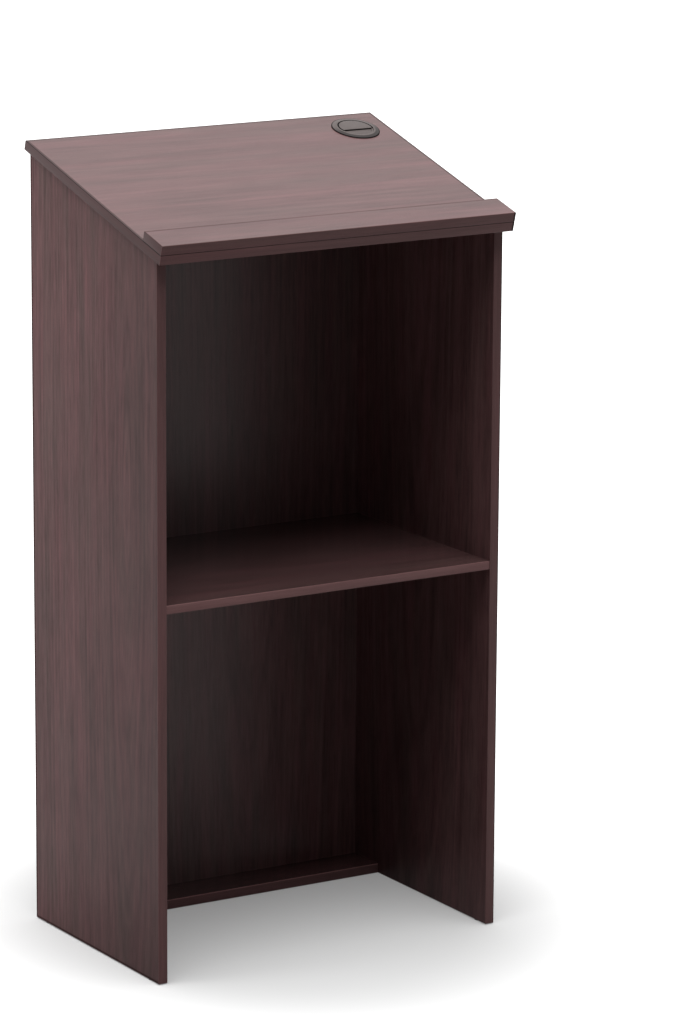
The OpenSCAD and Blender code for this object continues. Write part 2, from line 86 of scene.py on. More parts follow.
def node_box(node, axes=np.eye(3), origin=np.zeros(3)):
    """Lowest and highest corner of a CAD node, measured from origin along the rows of axes."""
    local = (mesh_points(frame["nodes"][node].data) - origin) @ axes.T
    return local.min(0), local.max(0)


RING_LOW, RING_HIGH = node_box("grommet_ring", DESK_AXES, GROMMET_CENTRE)
LID_LOW, LID_HIGH = node_box("grommet_lid", DESK_AXES, GROMMET_CENTRE)
SHUTTER_LOW, SHUTTER_HIGH = node_box("grommet_shutter", DESK_AXES, GROMMET_CENTRE)


def number(name, description, default, **limits):
    """A number that the user can change."""
    return FloatProperty(name=name, description=description, default=default, **limits)


def length(name, description, default):
    """A size in metres that the user can change."""
    return number(name, description, default, min=0.0, precision=5, unit="LENGTH")


def share(name, description, default):
    """A share from 0 to 1 that the user can change."""
    return number(name, description, default, min=0.0, max=1.0, subtype="FACTOR")


def turn(name, description, degrees):
    """An angle that the user can change."""
    return number(name, description, math.radians(degrees), subtype="ANGLE")


def colour(name, description, default):
    """A colour that the user can change, as linear red, green and blue."""
    return FloatVectorProperty(
        name=name, description=description, default=default, min=0.0, max=1.0, size=3, subtype="COLOR"
    )


def place(name, description, default):
    """A place in metres that the user can change."""
    return FloatVectorProperty(
        name=name, description=description, default=default, size=3, unit="LENGTH"
    )


class LecternWood(bpy.types.PropertyGroup):
    """The wood print of the boards and the edging."""

    dark: colour("Dark streaks", "Colour of the print's dark streaks", (0.060, 0.030, 0.030))
    light: colour("Light streaks", "Colour of the print's light streaks", (0.152, 0.080, 0.080))
    warm: colour("Warm bands", "Tint of the pinkish bands", (1.00, 0.90, 0.93))
    cool: colour("Cool bands", "Tint of the greyish bands", (0.80, 0.87, 0.84))
    tint_gain: number("Tint gain", "Brightness that makes up for the tints", 1.12)
    ring_pitch: length("Ring pitch", "Mean width of a growth ring in the figure", 0.0070)
    taper: share("Taper", "How much nearer the log's middle the cut comes along the board", 0.07)
    roughness: share("Roughness", "Mean roughness of the side panels", 0.38)
    level_roughness: share("Level roughness", "Mean roughness of the desk and the rail", 0.32)
    inner_roughness: share("Inner roughness", "Mean roughness of the shelf and the foot board", 0.24)
    back_roughness: share("Back roughness", "Mean roughness of the back panel", 0.33)
    edging_roughness: share("Edging roughness", "Mean roughness of the edging", 0.45)
    level_gloss: share("Level gloss", "Specular level of the desk, rail, shelf and foot board", 0.43)
    upright_gloss: share("Upright gloss", "Specular level of the side panels", 0.05)
    back_gloss: share("Back gloss", "Specular level of the back panel", 0.20)
    edging_gloss: share("Edging gloss", "Specular level of the edging", 0.12)
    # A line along chosen sides of a board, mostly dark; painted shade at the rail's rear and a painted
    # highlight on the foot board's edging
    edge_line_width: length("Edge line", "Width of the line along a board's sides", 0.0020)
    edge_line_shade: share("Edge line shade", "Brightness of that line against the face", 0.45)
    edge_line_roughness: share("Edge line roughness", "Roughness that this line has on top", 0.40)
    # Painted shade in the groove between rail and desk
    seam_width: length("Seam", "Reach of the dark seam between rail and desk on each side", 0.0008)
    seam_painted_shade: share("Seam shade", "Brightness of that seam against the strips", 0.25)
    pore_depth: length("Pore depth", "Depth of the embossed pores", 0.00006)


class LecternEdging(bpy.types.PropertyGroup):
    """Shape of the glued edging strips."""

    radius: length("Edge radius", "Radius of a strip's two long outer edges", 0.0008)
    seat: length("Glued edge radius", "Radius of the two long edges at the glue", 0.00003)
    ease: length("End easing", "How far the strips' ends are rounded over", 0.0004)


class LecternGrommet(bpy.types.PropertyGroup):
    """Sizes of the cable grommet that its box doesn't give."""

    band: length("Band", "Width of the flange's sloping outer band", 0.007)
    edge_height: length("Flange edge", "Height of the flange's outer edge", 0.0012)
    sleeve: length("Sleeve radius", "Outer radius of the sleeve through the desk", 0.0297)
    gap: length("Gap", "Running gap round the lid and the shutter", 0.0003)
    ledge_depth: length("Ledge depth", "Depth of the ledge that carries the lid", 0.003)
    ledge_width: length("Ledge width", "Width of that ledge", 0.0019)
    ledge_thickness: length("Ledge thickness", "Thickness of that ledge", 0.0016)
    rim_width: length("Rim width", "Width of the lid's rim", 0.0027)
    rim_height: length("Rim height", "Height of the lid's rim above the desk", 0.0016)
    plate: length("Plate", "Thickness of the raised plate's lower layer", 0.0007)
    plate_step: length("Plate step", "How far the raised plate stays inside the rim", 0.0016)
    chord: length("Chord", "Distance of the plate's straight edge from the centre", 0.006)
    seat_width: length("Seat width", "Width of the lip that carries the shutter", 0.0012)
    boss: length("Boss radius", "Radius of the pivot boss", 0.0025)
    boss_head: length("Boss head radius", "Radius of the snap head under the boss", 0.0036)
    head_thickness: length("Head thickness", "Thickness of the snap head and of the lip", 0.0012)
    bore: length("Bore radius", "Radius of the shutter's bore", 0.00256)
    hub: length("Hub radius", "Radius of the shutter's hub", 0.0047)
    shutter: length("Shutter thickness", "Thickness of the shutter's plate", 0.0015)
    rib_length: length("Rib length", "Length of the shutter's finger rib", 0.024)
    rib_width: length("Rib width", "Width of that rib", 0.0012)
    rib_from_rim: length("Rib place", "Distance of that rib's front from the shutter's rim", 0.006)
    barb: length("Barb", "How far a barb stands out of the sleeve", 0.0014)
    colour: colour("Plastic", "Colour of the moulded plastic", (0.095, 0.079, 0.076))
    roughness: share("Roughness", "Mean roughness of the moulded plastic", 0.42)
    gloss: share("Gloss", "Specular level of the moulded plastic", 0.12)
    # Painted shade: the plastic is darker in the crevices
    crevice_painted_shade: share("Crevice shade", "Brightness of the plastic in the crevices", 0.06)
    # Painted shade: the flange's band is darker where it faces the user
    band_painted_shade: share("Band shade", "Brightness of the band where it faces the user", 0.32)


class LecternFittings(bpy.types.PropertyGroup):
    """Finishes of the metal, wooden and plastic fittings."""

    steel: colour("Plated steel", "Colour of bolts, screws and nails", (0.60, 0.60, 0.61))
    zinc: colour("Zinc", "Colour of the cam locks", (0.42, 0.43, 0.44))
    beech: colour("Beech", "Colour of the dowels", (0.62, 0.44, 0.25))
    cover: colour("Cover discs", "Colour of the stuck-on discs", (0.070, 0.040, 0.040))
    glide: colour("Glides", "Colour of the floor glides", (0.030, 0.028, 0.028))


class LecternStudio(bpy.types.PropertyGroup):
    """Camera, light and floor."""

    camera: place("Camera", "Place of the camera", (-3.6224, -6.0847, 2.2599))
    yaw: turn("Yaw", "Turn of the camera from the user's line of sight to the right", 31.622)
    pitch: turn("Pitch", "Tilt of the camera downwards", 12.898)
    roll: turn("Roll", "Turn of the camera about its own line of sight", 0.339)
    lens: number("Lens", "Focal length for a long side of 36 mm", 168.8, unit="CAMERA")
    key: number("Key light", "Irradiance of the soft overhead light", 4.9)
    key_side: turn("Key side", "Lean of the overhead light to the left", 5)
    key_front: turn("Key front", "Lean of the overhead light to the front", 6)
    key_spread: turn("Key spread", "Angle that the overhead light fills", 60)
    panel_power: number("Light panel", "Power of the near light panel", 18.0)
    panel_place: place("Panel place", "Place of the near light panel", (-2.2, 0.3, 2.2))
    panel_size: length("Panel size", "Side of the near light panel", 0.8)
    panel_aim: length("Panel aim", "Height over the floor that the light panel is aimed at", 1.1)
    ambient: number("Ambient", "Strength of the light from all round", 0.10)
    # Painted shadow: the floor is painted darker round the lectern, out to the far floor beyond the far
    # radius
    floor: colour("Floor", "Colour of the pale floor by the lectern", (0.42, 0.42, 0.42))
    far_floor: colour("Far floor", "Colour of the floor further out", (0.85, 0.85, 0.85))
    floor_near: length("Near radius", "Radius of the floor's darker middle", 0.30)
    floor_far: length("Far radius", "Radius from which the floor has its far colour", 0.80)
    floor_narrowing: number("Floor narrowing", "How much narrower than deep that middle is", 1.2)
    floor_lift: share("Floor lift", "Light that the seen floor adds to its own", 0.19)
    bounce: colour("Bounce", "Colour of the floor for the light it sends up", (0.22, 0.21, 0.21))
    floor_radius: length("Floor radius", "Radius of the floor", 60.0)


def filleted(corners):
    """A closed outline of arcs: each corner gets the circle that touches both its sides.

    A corner is its two coordinates and its radius. With half angle a between the sides, the circle's
    centre lies radius / sin a from the corner on their bisector, and the arc is swept from one
    touching point to the other.
    """
    corners, radii = np.split(np.array(corners, float), [2], 1)
    to_last = np.roll(corners, 1, 0) - corners
    to_next = np.roll(corners, -1, 0) - corners
    to_last /= np.linalg.norm(to_last, axis=1)[:, None]
    to_next /= np.linalg.norm(to_next, axis=1)[:, None]
    half = np.arccos(np.clip((to_last * to_next).sum(1), -1, 1))[:, None] / 2
    bisector = to_last + to_next
    bisector /= np.linalg.norm(bisector, axis=1)[:, None]
    centre = corners + bisector * radii / np.sin(half)
    start = (corners + to_last * radii / np.tan(half) - centre)[:, None]
    end = (corners + to_next * radii / np.tan(half) - centre)[:, None]
    sweep = (np.pi - 2 * half)[:, :, None]
    step = np.linspace(0, 1, FILLET_STEPS + 1)[None, :, None]
    arcs = (np.sin((1 - step) * sweep) * start + np.sin(step * sweep) * end) / np.sin(sweep)
    return (centre[:, None] + arcs).reshape(-1, 2)


def round_over(radius, points=FILLET_STEPS):
    """How far a quarter circle lies in from the side and in from the end of what it rounds over.

    At angle a these are radius times 1 - cos a, and radius times 1 - sin a.
    """
    quarter = np.linspace(0, np.pi / 2, points)
    return radius * (1 - np.cos(quarter)), radius * (1 - np.sin(quarter))


def signed_volume(mesh):
    """Volume inside a closed mesh: a sixth of the triple product of each triangle's corners."""
    mesh.calc_loop_triangles()
    corners = np.empty(3 * len(mesh.loop_triangles), np.int32)
    mesh.loop_triangles.foreach_get("vertices", corners)
    a, b, c = mesh_points(mesh)[corners.reshape(-1, 3)].swapaxes(0, 1)
    return (a * np.cross(b, c)).sum() / 6


def new_object(name, data):
    """An object that is linked to the scene."""
    made = bpy.data.objects.new(name, data)
    bpy.context.scene.collection.objects.link(made)
    return made


class Skin:
    """Points and faces of one piece, gathered from closed surfaces."""

    def __init__(self):
        self.points = []
        self.faces = []
        self.count = 0

    def add_rings(self, rings, wrap=False):
        """Skins rings of points, as (rings, points, 3), with a quad between each two neighbours.

        With wrap the last ring meets the first, and otherwise both end rings are closed by a flat face.
        """
        count, size = rings.shape[:2]
        index = self.count + np.arange(count * size).reshape(count, size)
        near = index if wrap else index[:-1]
        far = np.roll(index, -1, 0) if wrap else index[1:]
        quads = np.stack([near, np.roll(near, -1, 1), np.roll(far, -1, 1), far], -1)
        self.faces += quads.reshape(-1, 4).tolist()
        if not wrap:
            self.faces += [index[0][::-1].tolist(), index[-1].tolist()]
        self.points.append(rings.reshape(-1, 3))
        self.count += count * size

    def add_turned(self, profile, steps=TURN_STEPS):
        """Skins an outline of (radius, height) points that is turned right round the height axis."""
        self.add_rings(turned_rings(*profile.T, whole_turn(steps)), wrap=True)

    def place(self, axes, origin):
        """Takes the points from a piece's own axes, given as rows, to the lectern's frame."""
        self.points = [points @ axes + origin for points in self.points]

    def build(self, name, body, material, slot, *replaced):
        """Makes the mesh piece with outward faces, rides it on its body and hides what it replaces."""
        mesh = bpy.data.meshes.new(name)
        mesh.from_pydata(np.concatenate(self.points), [], self.faces)
        if signed_volume(mesh) < 0:
            mesh.flip_normals()
        mesh.shade_smooth()
        mesh.set_sharp_from_angle(angle=SHARP_ANGLE)
        mesh.materials.append(material)
        piece = new_object(name, mesh)
        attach(piece, body)
        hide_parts(*replaced)


def bar_rings(low, high, edging, lean=0.0):
    """Rings of an edging strip along its own first axis, with its outer face at high on the second.

    Each ring is the strip's rectangle with round outer corners. Towards both ends the rings shrink
    along a quarter circle, which eases the end's edges. lean cuts the far end on a slope: a point
    moves back by lean times its distance from the glued face.
    """
    shrink, from_end = round_over(edging.ease)
    places = np.concatenate([low[0] + from_end[::-1], high[0] - from_end])
    shrinks = np.concatenate([shrink[::-1], shrink])
    rings = []
    for at, less in zip(places, shrinks):
        outer = max(edging.radius - less, edging.seat)
        outline = filleted([
            (low[1], low[2] + less, edging.seat),
            (high[1] - less, low[2] + less, outer),
            (high[1] - less, high[2] - less, outer),
            (low[1], high[2] - less, edging.seat),
        ])
        rings.append(across_axis(outline, at))
    rings = np.array(rings)
    rings[FILLET_STEPS:, :, 0] -= lean * (rings[FILLET_STEPS:, :, 1] - low[1])
    return rings


def across_axis(outline, along):
    """An outline of (y, z) points as a ring at one place along the first axis."""
    return np.column_stack([np.full(len(outline), along), outline])


def level(outline, height):
    """An outline of (x, y) points as a ring at a height."""
    return np.column_stack([outline, np.full(len(outline), height)])


def turned_rings(radii, heights, angles):
    """Rings made by turning points at radii and heights about the height axis, one at each angle.

    radii is one row for all the angles, or a row for each of them.
    """
    radii, heights, angles = np.broadcast_arrays(radii, heights, angles[:, None])
    return np.stack([np.cos(angles) * radii, np.sin(angles) * radii, heights], -1)


def whole_turn(steps=TURN_STEPS):
    """Evenly spaced angles round a whole turn."""
    return np.linspace(0, 2 * np.pi, steps, endpoint=False)


def arc(radius, angles):
    """Points at a radius round the centre."""
    return radius * np.column_stack([np.cos(angles), np.sin(angles)])


def half_moon(radius, chord, corner, inset=0.0):
    """Outline of a disc cut by a straight line at chord in front of its centre, with round corners.

    A smaller such shape is grown by the corner's radius: its arc keeps the disc's centre, and each
    of its two corners becomes an arc. inset moves the whole outline inwards.
    """
    core_radius = radius - corner
    core_chord = chord - corner
    grown = corner - inset
    dip = math.asin(core_chord / core_radius)
    tip = np.array([core_radius * math.cos(dip), -core_chord])
    long_arc = np.linspace(-dip, np.pi + dip, TURN_STEPS)
    corner_arc = np.linspace(0, np.pi / 2 - dip, FILLET_STEPS + 2)[1:-1]
    foot = -core_chord - grown
    return np.concatenate([
        arc(core_radius + grown, long_arc),
        tip * (-1, 1) + arc(grown, np.pi + dip + corner_arc),
        [(-tip[0], foot), (tip[0], foot)],
        tip + arc(grown, corner_arc - np.pi / 2),
    ])


# Middle of the range of a noise and of a tone
MIDDLE_VALUE = 0.5


class NodeSheet:
    """Adds linked nodes to one node tree, with a method for each kind that the finishes use."""

    def __init__(self, tree):
        self.tree = tree

    def feed(self, node, inputs):
        """Gives a node's inputs their values, or the sockets that feed them."""
        for key, value in dict(inputs).items():
            if isinstance(value, bpy.types.NodeSocket):
                self.tree.links.new(value, node.inputs[key])
            else:
                node.inputs[key].default_value = value

    def add(self, kind, inputs=(), **settings):
        """Adds a node with its settings and what its inputs get, and returns its outputs."""
        node = self.tree.nodes.new(kind)
        for name, value in settings.items():
            setattr(node, name, value)
        self.feed(node, inputs)
        return node.outputs

    def math(self, operation, *values):
        """One step of arithmetic."""
        return self.add("ShaderNodeMath", enumerate(values), operation=operation)[0]

    def product(self, first, *others):
        """The product of two numbers or more."""
        for other in others:
            first = self.math("MULTIPLY", first, other)
        return first

    def vector_math(self, operation, *values, output="Vector"):
        """One step of arithmetic on vectors."""
        return self.add("ShaderNodeVectorMath", enumerate(values), operation=operation)[output]

    def parts(self, vector):
        """The three numbers of a vector, as X, Y and Z."""
        return self.add("ShaderNodeSeparateXYZ", {0: vector})

    def vector(self, *parts):
        """A vector of up to three numbers."""
        return self.add("ShaderNodeCombineXYZ", enumerate(parts))[0]

    def band(self, value, low, high, to_low=0.0, to_high=1.0):
        """A smooth step from to_low to to_high as value goes from low to high."""
        inputs = {"Value": value, "From Min": low, "From Max": high, "To Min": to_low, "To Max": to_high}
        return self.add("ShaderNodeMapRange", inputs, interpolation_type="SMOOTHSTEP")["Result"]

    def fall(self, value, low, high):
        """A smooth step from 1 to 0 as value goes from low to high."""
        return self.band(value, low, high, 1.0, 0.0)

    def noise(self, vector, stretch, seed, detail=2.0):
        """Noise with stretch features a metre along each axis, as its distance from the middle value."""
        stretched = self.vector_math("MULTIPLY", vector, stretch)
        inputs = {"Vector": stretched, "W": seed, "Scale": 1.0, "Detail": detail}
        texture = self.add("ShaderNodeTexNoise", inputs, noise_dimensions="4D")
        return self.math("SUBTRACT", texture["Fac"], MIDDLE_VALUE)

    def mix(self, share_of_second, first, second, blend="MIX"):
        """A colour between two others. Where blend is MULTIPLY, their product is the second one."""
        inputs = {0: share_of_second, 6: first, 7: second}
        return self.add("ShaderNodeMix", inputs, data_type="RGBA", blend_type=blend)[2]

    def shade(self, shown, gain, mask=1.0):
        """A colour times gain, as far as mask lets that show."""
        return self.mix(mask, shown, self.vector(gain, gain, gain), "MULTIPLY")

    def bump(self, height, distance, strength):
        """The normal of a surface on which a height of 1 rises by distance."""
        inputs = {"Height": height, "Distance": distance, "Strength": strength}
        return self.add("ShaderNodeBump", inputs)["Normal"]

    def group(self, name, make, inputs):
        """Places a node group, which is built once and then found by its name."""
        tree = bpy.data.node_groups.get(name) or make()
        return self.add("ShaderNodeGroup", inputs, node_tree=tree)


# Kinds of the sockets that aren't plain numbers
SOCKET_KINDS = {"Colour": "Color"}
SOCKET_KINDS.update(dict.fromkeys(("Grain", "Low", "High", "Position", "Place"), "Vector"))


def new_group(name, inputs, outputs):
    """Starts a node group with the named sockets: its sheet, its input sockets and its output node."""
    tree = bpy.data.node_groups.new(name, "ShaderNodeTree")
    for direction, sockets in (("INPUT", inputs), ("OUTPUT", outputs)):
        for socket in sockets:
            kind = "NodeSocket" + SOCKET_KINDS.get(socket, "Float")
            tree.interface.new_socket(name=socket, in_out=direction, socket_type=kind)
    source = tree.nodes.new("NodeGroupInput")
    return NodeSheet(tree), source.outputs, tree.nodes.new("NodeGroupOutput")


# Features a metre along, across and through the grain of the layers of the wood print
SWAY = (1.4, 9.0, 3.0)
SHIVER = (12.0, 90.0, 20.0)
WARM_BANDS = (1.6, 42.0, 9.0)
DASHES = (40.0, 2200.0, 400.0)

# Features in each growth ring, and a metre along it
RING_BANDS = (1.0, 2.0, 1.0)

# Streaks of the tone, from broad ones to fibres, with their features a metre and their weight
STREAKS = (
    ((0.9, 30.0, 8.0), 0.5),
    ((4.5, 160.0, 30.0), 0.8),
    ((5.0, 24.0, 8.0), 0.45),
    ((14.0, 700.0, 100.0), 0.8),
)

# How far sway and shiver move the figure across, and sway moves it from the log's middle, in metres
SWAY_ACROSS = 0.012
SHIVER_ACROSS = 0.0012
SWAY_DEPTH = 0.05

# Weight of the rings in the tone, strength of the warm bands, and the noise from which a dash shows
RING_WEIGHT = 1.3
WARMTH_GAIN = 2.2
DASH_START = (0.12, 0.22)


def wood_print_group():
    """The printed figure of a board, from coordinates along, across and through its grain.

    The figure is a plane cut through a log: with h, the cut's distance from the log's middle, falling by
    Taper along the board to nothing at Crown, the growth ring at a point has the radius
    sqrt((across - Ring Centre)^2 + h^2), and noise over that radius gives rings of uneven width. Tone
    is the sum of those rings and of straight streaks in several widths, Warmth drifts across the board,
    and Pores are short dashes. Fineness makes the streaks narrower, and Shortness makes them shorter.
    """
    sheet, given, result = new_group(
        "Wood print",
        ("Grain", "Seed", "Ring Pitch", "Ring Centre", "Crown", "Taper", "Figure", "Fineness", "Shortness",
         "Contrast"),
        ("Tone", "Warmth", "Pores"),
    )
    seed = given["Seed"]
    contrast = given["Contrast"]
    grain = sheet.parts(given["Grain"])
    sway = sheet.noise(given["Grain"], SWAY, seed)
    shiver = sheet.noise(given["Grain"], SHIVER, seed)
    across = sheet.math("MULTIPLY_ADD", sway, SWAY_ACROSS, grain["Y"])
    across = sheet.math("MULTIPLY_ADD", shiver, SHIVER_ACROSS, across)
    fine_across = sheet.product(across, given["Fineness"])
    short_along = sheet.product(grain["X"], given["Shortness"])
    lines = sheet.vector(short_along, fine_across, grain["Z"])

    depth = sheet.product(sheet.math("SUBTRACT", grain["X"], given["Crown"]), given["Taper"])
    depth = sheet.math("MULTIPLY_ADD", sway, SWAY_DEPTH, depth)
    aside = sheet.math("SUBTRACT", across, given["Ring Centre"])
    squares = sheet.math("MULTIPLY_ADD", aside, aside, sheet.product(depth, depth))
    rings_out = sheet.math("DIVIDE", sheet.math("SQRT", squares), given["Ring Pitch"])
    rings = sheet.noise(sheet.vector(rings_out, grain["X"]), RING_BANDS, seed, detail=3.0)

    tone = 0.0
    for stretch, weight in STREAKS:
        tone = sheet.math("MULTIPLY_ADD", sheet.noise(lines, stretch, seed), weight, tone)
    tone = sheet.math("MULTIPLY_ADD", sheet.product(rings, given["Figure"]), RING_WEIGHT, tone)
    drift = sheet.product(sheet.noise(lines, WARM_BANDS, seed, detail=1.0), contrast)
    dashes = sheet.noise(lines, DASHES, seed, detail=1.0)
    sheet.feed(result, {
        "Tone": sheet.math("MULTIPLY_ADD", tone, contrast, MIDDLE_VALUE),
        "Warmth": sheet.math("MULTIPLY_ADD", drift, WARMTH_GAIN, MIDDLE_VALUE),
        "Pores": sheet.band(dashes, *DASH_START),
    })
    return sheet.tree


def near_sides_group():
    """1 within Width of a board's four sides and 0 from twice Width, in the print's own coordinates.

    The distance to the nearest side is the smallest of along and across less the board's lowest
    ones, and of its highest ones less along and across.
    """
    sheet, given, result = new_group("Near sides", ("Grain", "Low", "High", "Width"), ("Mask",))
    above = sheet.vector_math("SUBTRACT", given["Grain"], given["Low"])
    below = sheet.vector_math("SUBTRACT", given["High"], given["Grain"])
    nearest = sheet.parts(sheet.vector_math("MINIMUM", above, below))
    distance = sheet.math("MINIMUM", nearest["X"], nearest["Y"])
    sheet.feed(result, {"Mask": sheet.fall(distance, given["Width"], sheet.product(given["Width"], 2.0))})
    return sheet.tree


# Features a metre of the clouds and the marks in a handled finish, and the weight of the marks
HANDLING_CLOUDS = (6.0, 6.0, 6.0)
HANDLING_MARKS = (70.0, 70.0, 70.0)
MARKS_WEIGHT = 0.4


def handling_group():
    """Faint unevenness of a finish: broad clouds with finer marks in them, added to a roughness."""
    sheet, given, result = new_group("Handling", ("Position", "Roughness", "Amount"), ("Roughness",))
    clouds = sheet.noise(given["Position"], HANDLING_CLOUDS, seed=1.0, detail=4.0)
    marks = sheet.noise(given["Position"], HANDLING_MARKS, seed=2.0, detail=3.0)
    both = sheet.math("MULTIPLY_ADD", marks, MARKS_WEIGHT, clouds)
    uneven = sheet.math("MULTIPLY_ADD", both, given["Amount"], given["Roughness"])
    sheet.feed(result, {"Roughness": uneven})
    return sheet.tree


# Features in each grain of a moulded texture, and a metre of the patches in its colour
TEXTURE_GRAINS = (1.0, 1.0, 1.0)
COLOUR_PATCHES = (60.0, 60.0, 60.0)
GRAINS_WEIGHT = 0.25
PATCHES_WEIGHT = 0.35


def moulding_group():
    """The skin of a moulded or cast piece: a fine even texture and a slight drift of its colour."""
    sheet, given, result = new_group(
        "Moulding", ("Position", "Colour", "Texture Size"), ("Colour", "Height")
    )
    size = given["Texture Size"]
    in_grains = sheet.vector_math("DIVIDE", given["Position"], sheet.vector(size, size, size))
    grains = sheet.noise(in_grains, TEXTURE_GRAINS, seed=3.0, detail=3.0)
    patches = sheet.noise(given["Position"], COLOUR_PATCHES, seed=4.0)
    brightness = sheet.math("MULTIPLY_ADD", grains, GRAINS_WEIGHT, 1.0)
    brightness = sheet.math("MULTIPLY_ADD", patches, PATCHES_WEIGHT, brightness)
    sheet.feed(result, {"Colour": sheet.shade(given["Colour"], brightness), "Height": grains})
    return sheet.tree


# Where the masks of painted shade in the grommet's crevices start and end, in metres: in from the
# flange's rim, above its edge, below the plate's top, out from the plate and from the opening, and
# behind the straight edge
RIM_IN = (0.0011, 0.0017)
RIM_ABOVE = (0.0002, 0.0004)
GROOVE_BELOW = (0.0001, 0.0003)
GROOVE_PAST_PLATE = (-0.0006, -0.0002)
GROOVE_PAST_OPENING = (0.0003, 0.0007)
GROOVE_BEHIND = (-0.0005, 0.0005)
FOOT_BELOW = (0.0005, 0.0011)
FOOT_PAST_PLATE = (0.0, 0.001)
FOOT_BEHIND = (0.0002, 0.0005)
FOOT_AHEAD = (-0.0010, -0.0004)

# The same for the flange's band, which is painted darker as shade where it faces the user: out from
# its inner side, and as y over radius, -1 at the front
BAND_OUT = (-0.0002, 0.0006)
BAND_FACING = (-0.4, 0.4)


def crevice_shade_group():
    """Painted shade: 1 in the grommet's crevices and 0 elsewhere, from its own coordinates: radius r and
    height z.

    The crevices are the flange's outer edge, the groove between the raised plate and the ring, and the
    foot of the plate's straight edge with the surface just in front of it; they are painted darker as
    shade. Front Band is 1 where the flange's sloping band, Band wide, faces the user, and is painted
    darker there as shade.
    """
    sheet, given, result = new_group(
        "Crevice shade",
        ("Place", "Flange", "Edge", "Opening", "Plate", "Plate Top", "Chord", "Band"),
        ("Mask", "Front Band Shade"),
    )
    parts = sheet.parts(given["Place"])
    squares = sheet.math("MULTIPLY_ADD", parts["X"], parts["X"], sheet.product(parts["Y"], parts["Y"]))
    radius = sheet.math("SQRT", squares)
    from_rim = sheet.math("SUBTRACT", given["Flange"], radius)
    above_edge = sheet.math("SUBTRACT", parts["Z"], given["Edge"])
    below_top = sheet.math("SUBTRACT", given["Plate Top"], parts["Z"])
    past_plate = sheet.math("SUBTRACT", radius, given["Plate"])
    past_opening = sheet.math("SUBTRACT", radius, given["Opening"])
    behind = sheet.math("ADD", parts["Y"], given["Chord"])

    under_rim = sheet.product(sheet.fall(from_rim, *RIM_IN), sheet.fall(above_edge, *RIM_ABOVE))
    groove = sheet.product(
        sheet.band(past_plate, *GROOVE_PAST_PLATE),
        sheet.fall(past_opening, *GROOVE_PAST_OPENING),
        sheet.band(below_top, *GROOVE_BELOW),
        sheet.band(behind, *GROOVE_BEHIND),
    )
    foot = sheet.product(
        sheet.fall(behind, *FOOT_BEHIND),
        sheet.band(behind, *FOOT_AHEAD),
        sheet.band(below_top, *FOOT_BELOW),
        sheet.fall(past_plate, *FOOT_PAST_PLATE),
    )
    on_band = sheet.band(sheet.math("SUBTRACT", given["Band"], from_rim), *BAND_OUT)
    facing = sheet.fall(sheet.math("DIVIDE", parts["Y"], radius), *BAND_FACING)
    sheet.feed(result, {
        "Mask": sheet.math("MAXIMUM", sheet.math("MAXIMUM", under_rim, groove), foot),
        "Front Band Shade": sheet.product(on_band, facing),
    })
    return sheet.tree


def clear_sheet(owner):
    """A sheet of the emptied nodes of a material or a world."""
    owner.use_nodes = True
    owner.node_tree.nodes.clear()
    return NodeSheet(owner.node_tree)


def new_material(name):
    """A material with its sheet, object coordinates and the shader that it ends in."""
    material = bpy.data.materials.new(name)
    sheet = clear_sheet(material)
    position = sheet.add("ShaderNodeTexCoord")["Object"]
    shader = sheet.tree.nodes.new("ShaderNodeBsdfPrincipled")
    sheet.add("ShaderNodeOutputMaterial", {"Surface": shader.outputs[0]})
    return material, sheet, position, shader


def rgba(values):
    """A colour as the four numbers that a socket takes."""
    return (*values, 1.0)


def on_axes(sheet, position, axes, origin=np.zeros(3)):
    """Object coordinates taken to a piece's own axes and origin."""
    turned = {"Rotation": Matrix(axes.tolist()).to_euler(), "Location": -(axes @ origin)}
    return sheet.add("ShaderNodeMapping", {"Vector": position, **turned})[0]


def handled(sheet, position, roughness, amount):
    """A roughness made uneven by handling."""
    inputs = {"Position": position, "Roughness": roughness, "Amount": amount}
    return sheet.group("Handling", handling_group, inputs)["Roughness"]


def moulded(sheet, position, tone, texture_size):
    """The outputs of the moulding's group: the colour and the height of a moulded or cast skin."""
    inputs = {"Position": position, "Colour": rgba(tone), "Texture Size": texture_size}
    return sheet.group("Moulding", moulding_group, inputs)


# How uneven handling makes the roughness of each kind of finish
WOOD_HANDLING = 0.10
PLASTIC_HANDLING = 0.12
METAL_HANDLING = 0.25

# How strongly pores show in the colour, their brightness against the dark streaks, and their bump
PORE_SHOW = 0.35
PORE_SHADE = 0.4
PORE_BUMP = 0.6

# Share of a seam's reach over which its painted shade is wholly dark
SEAM_CORE = 0.4


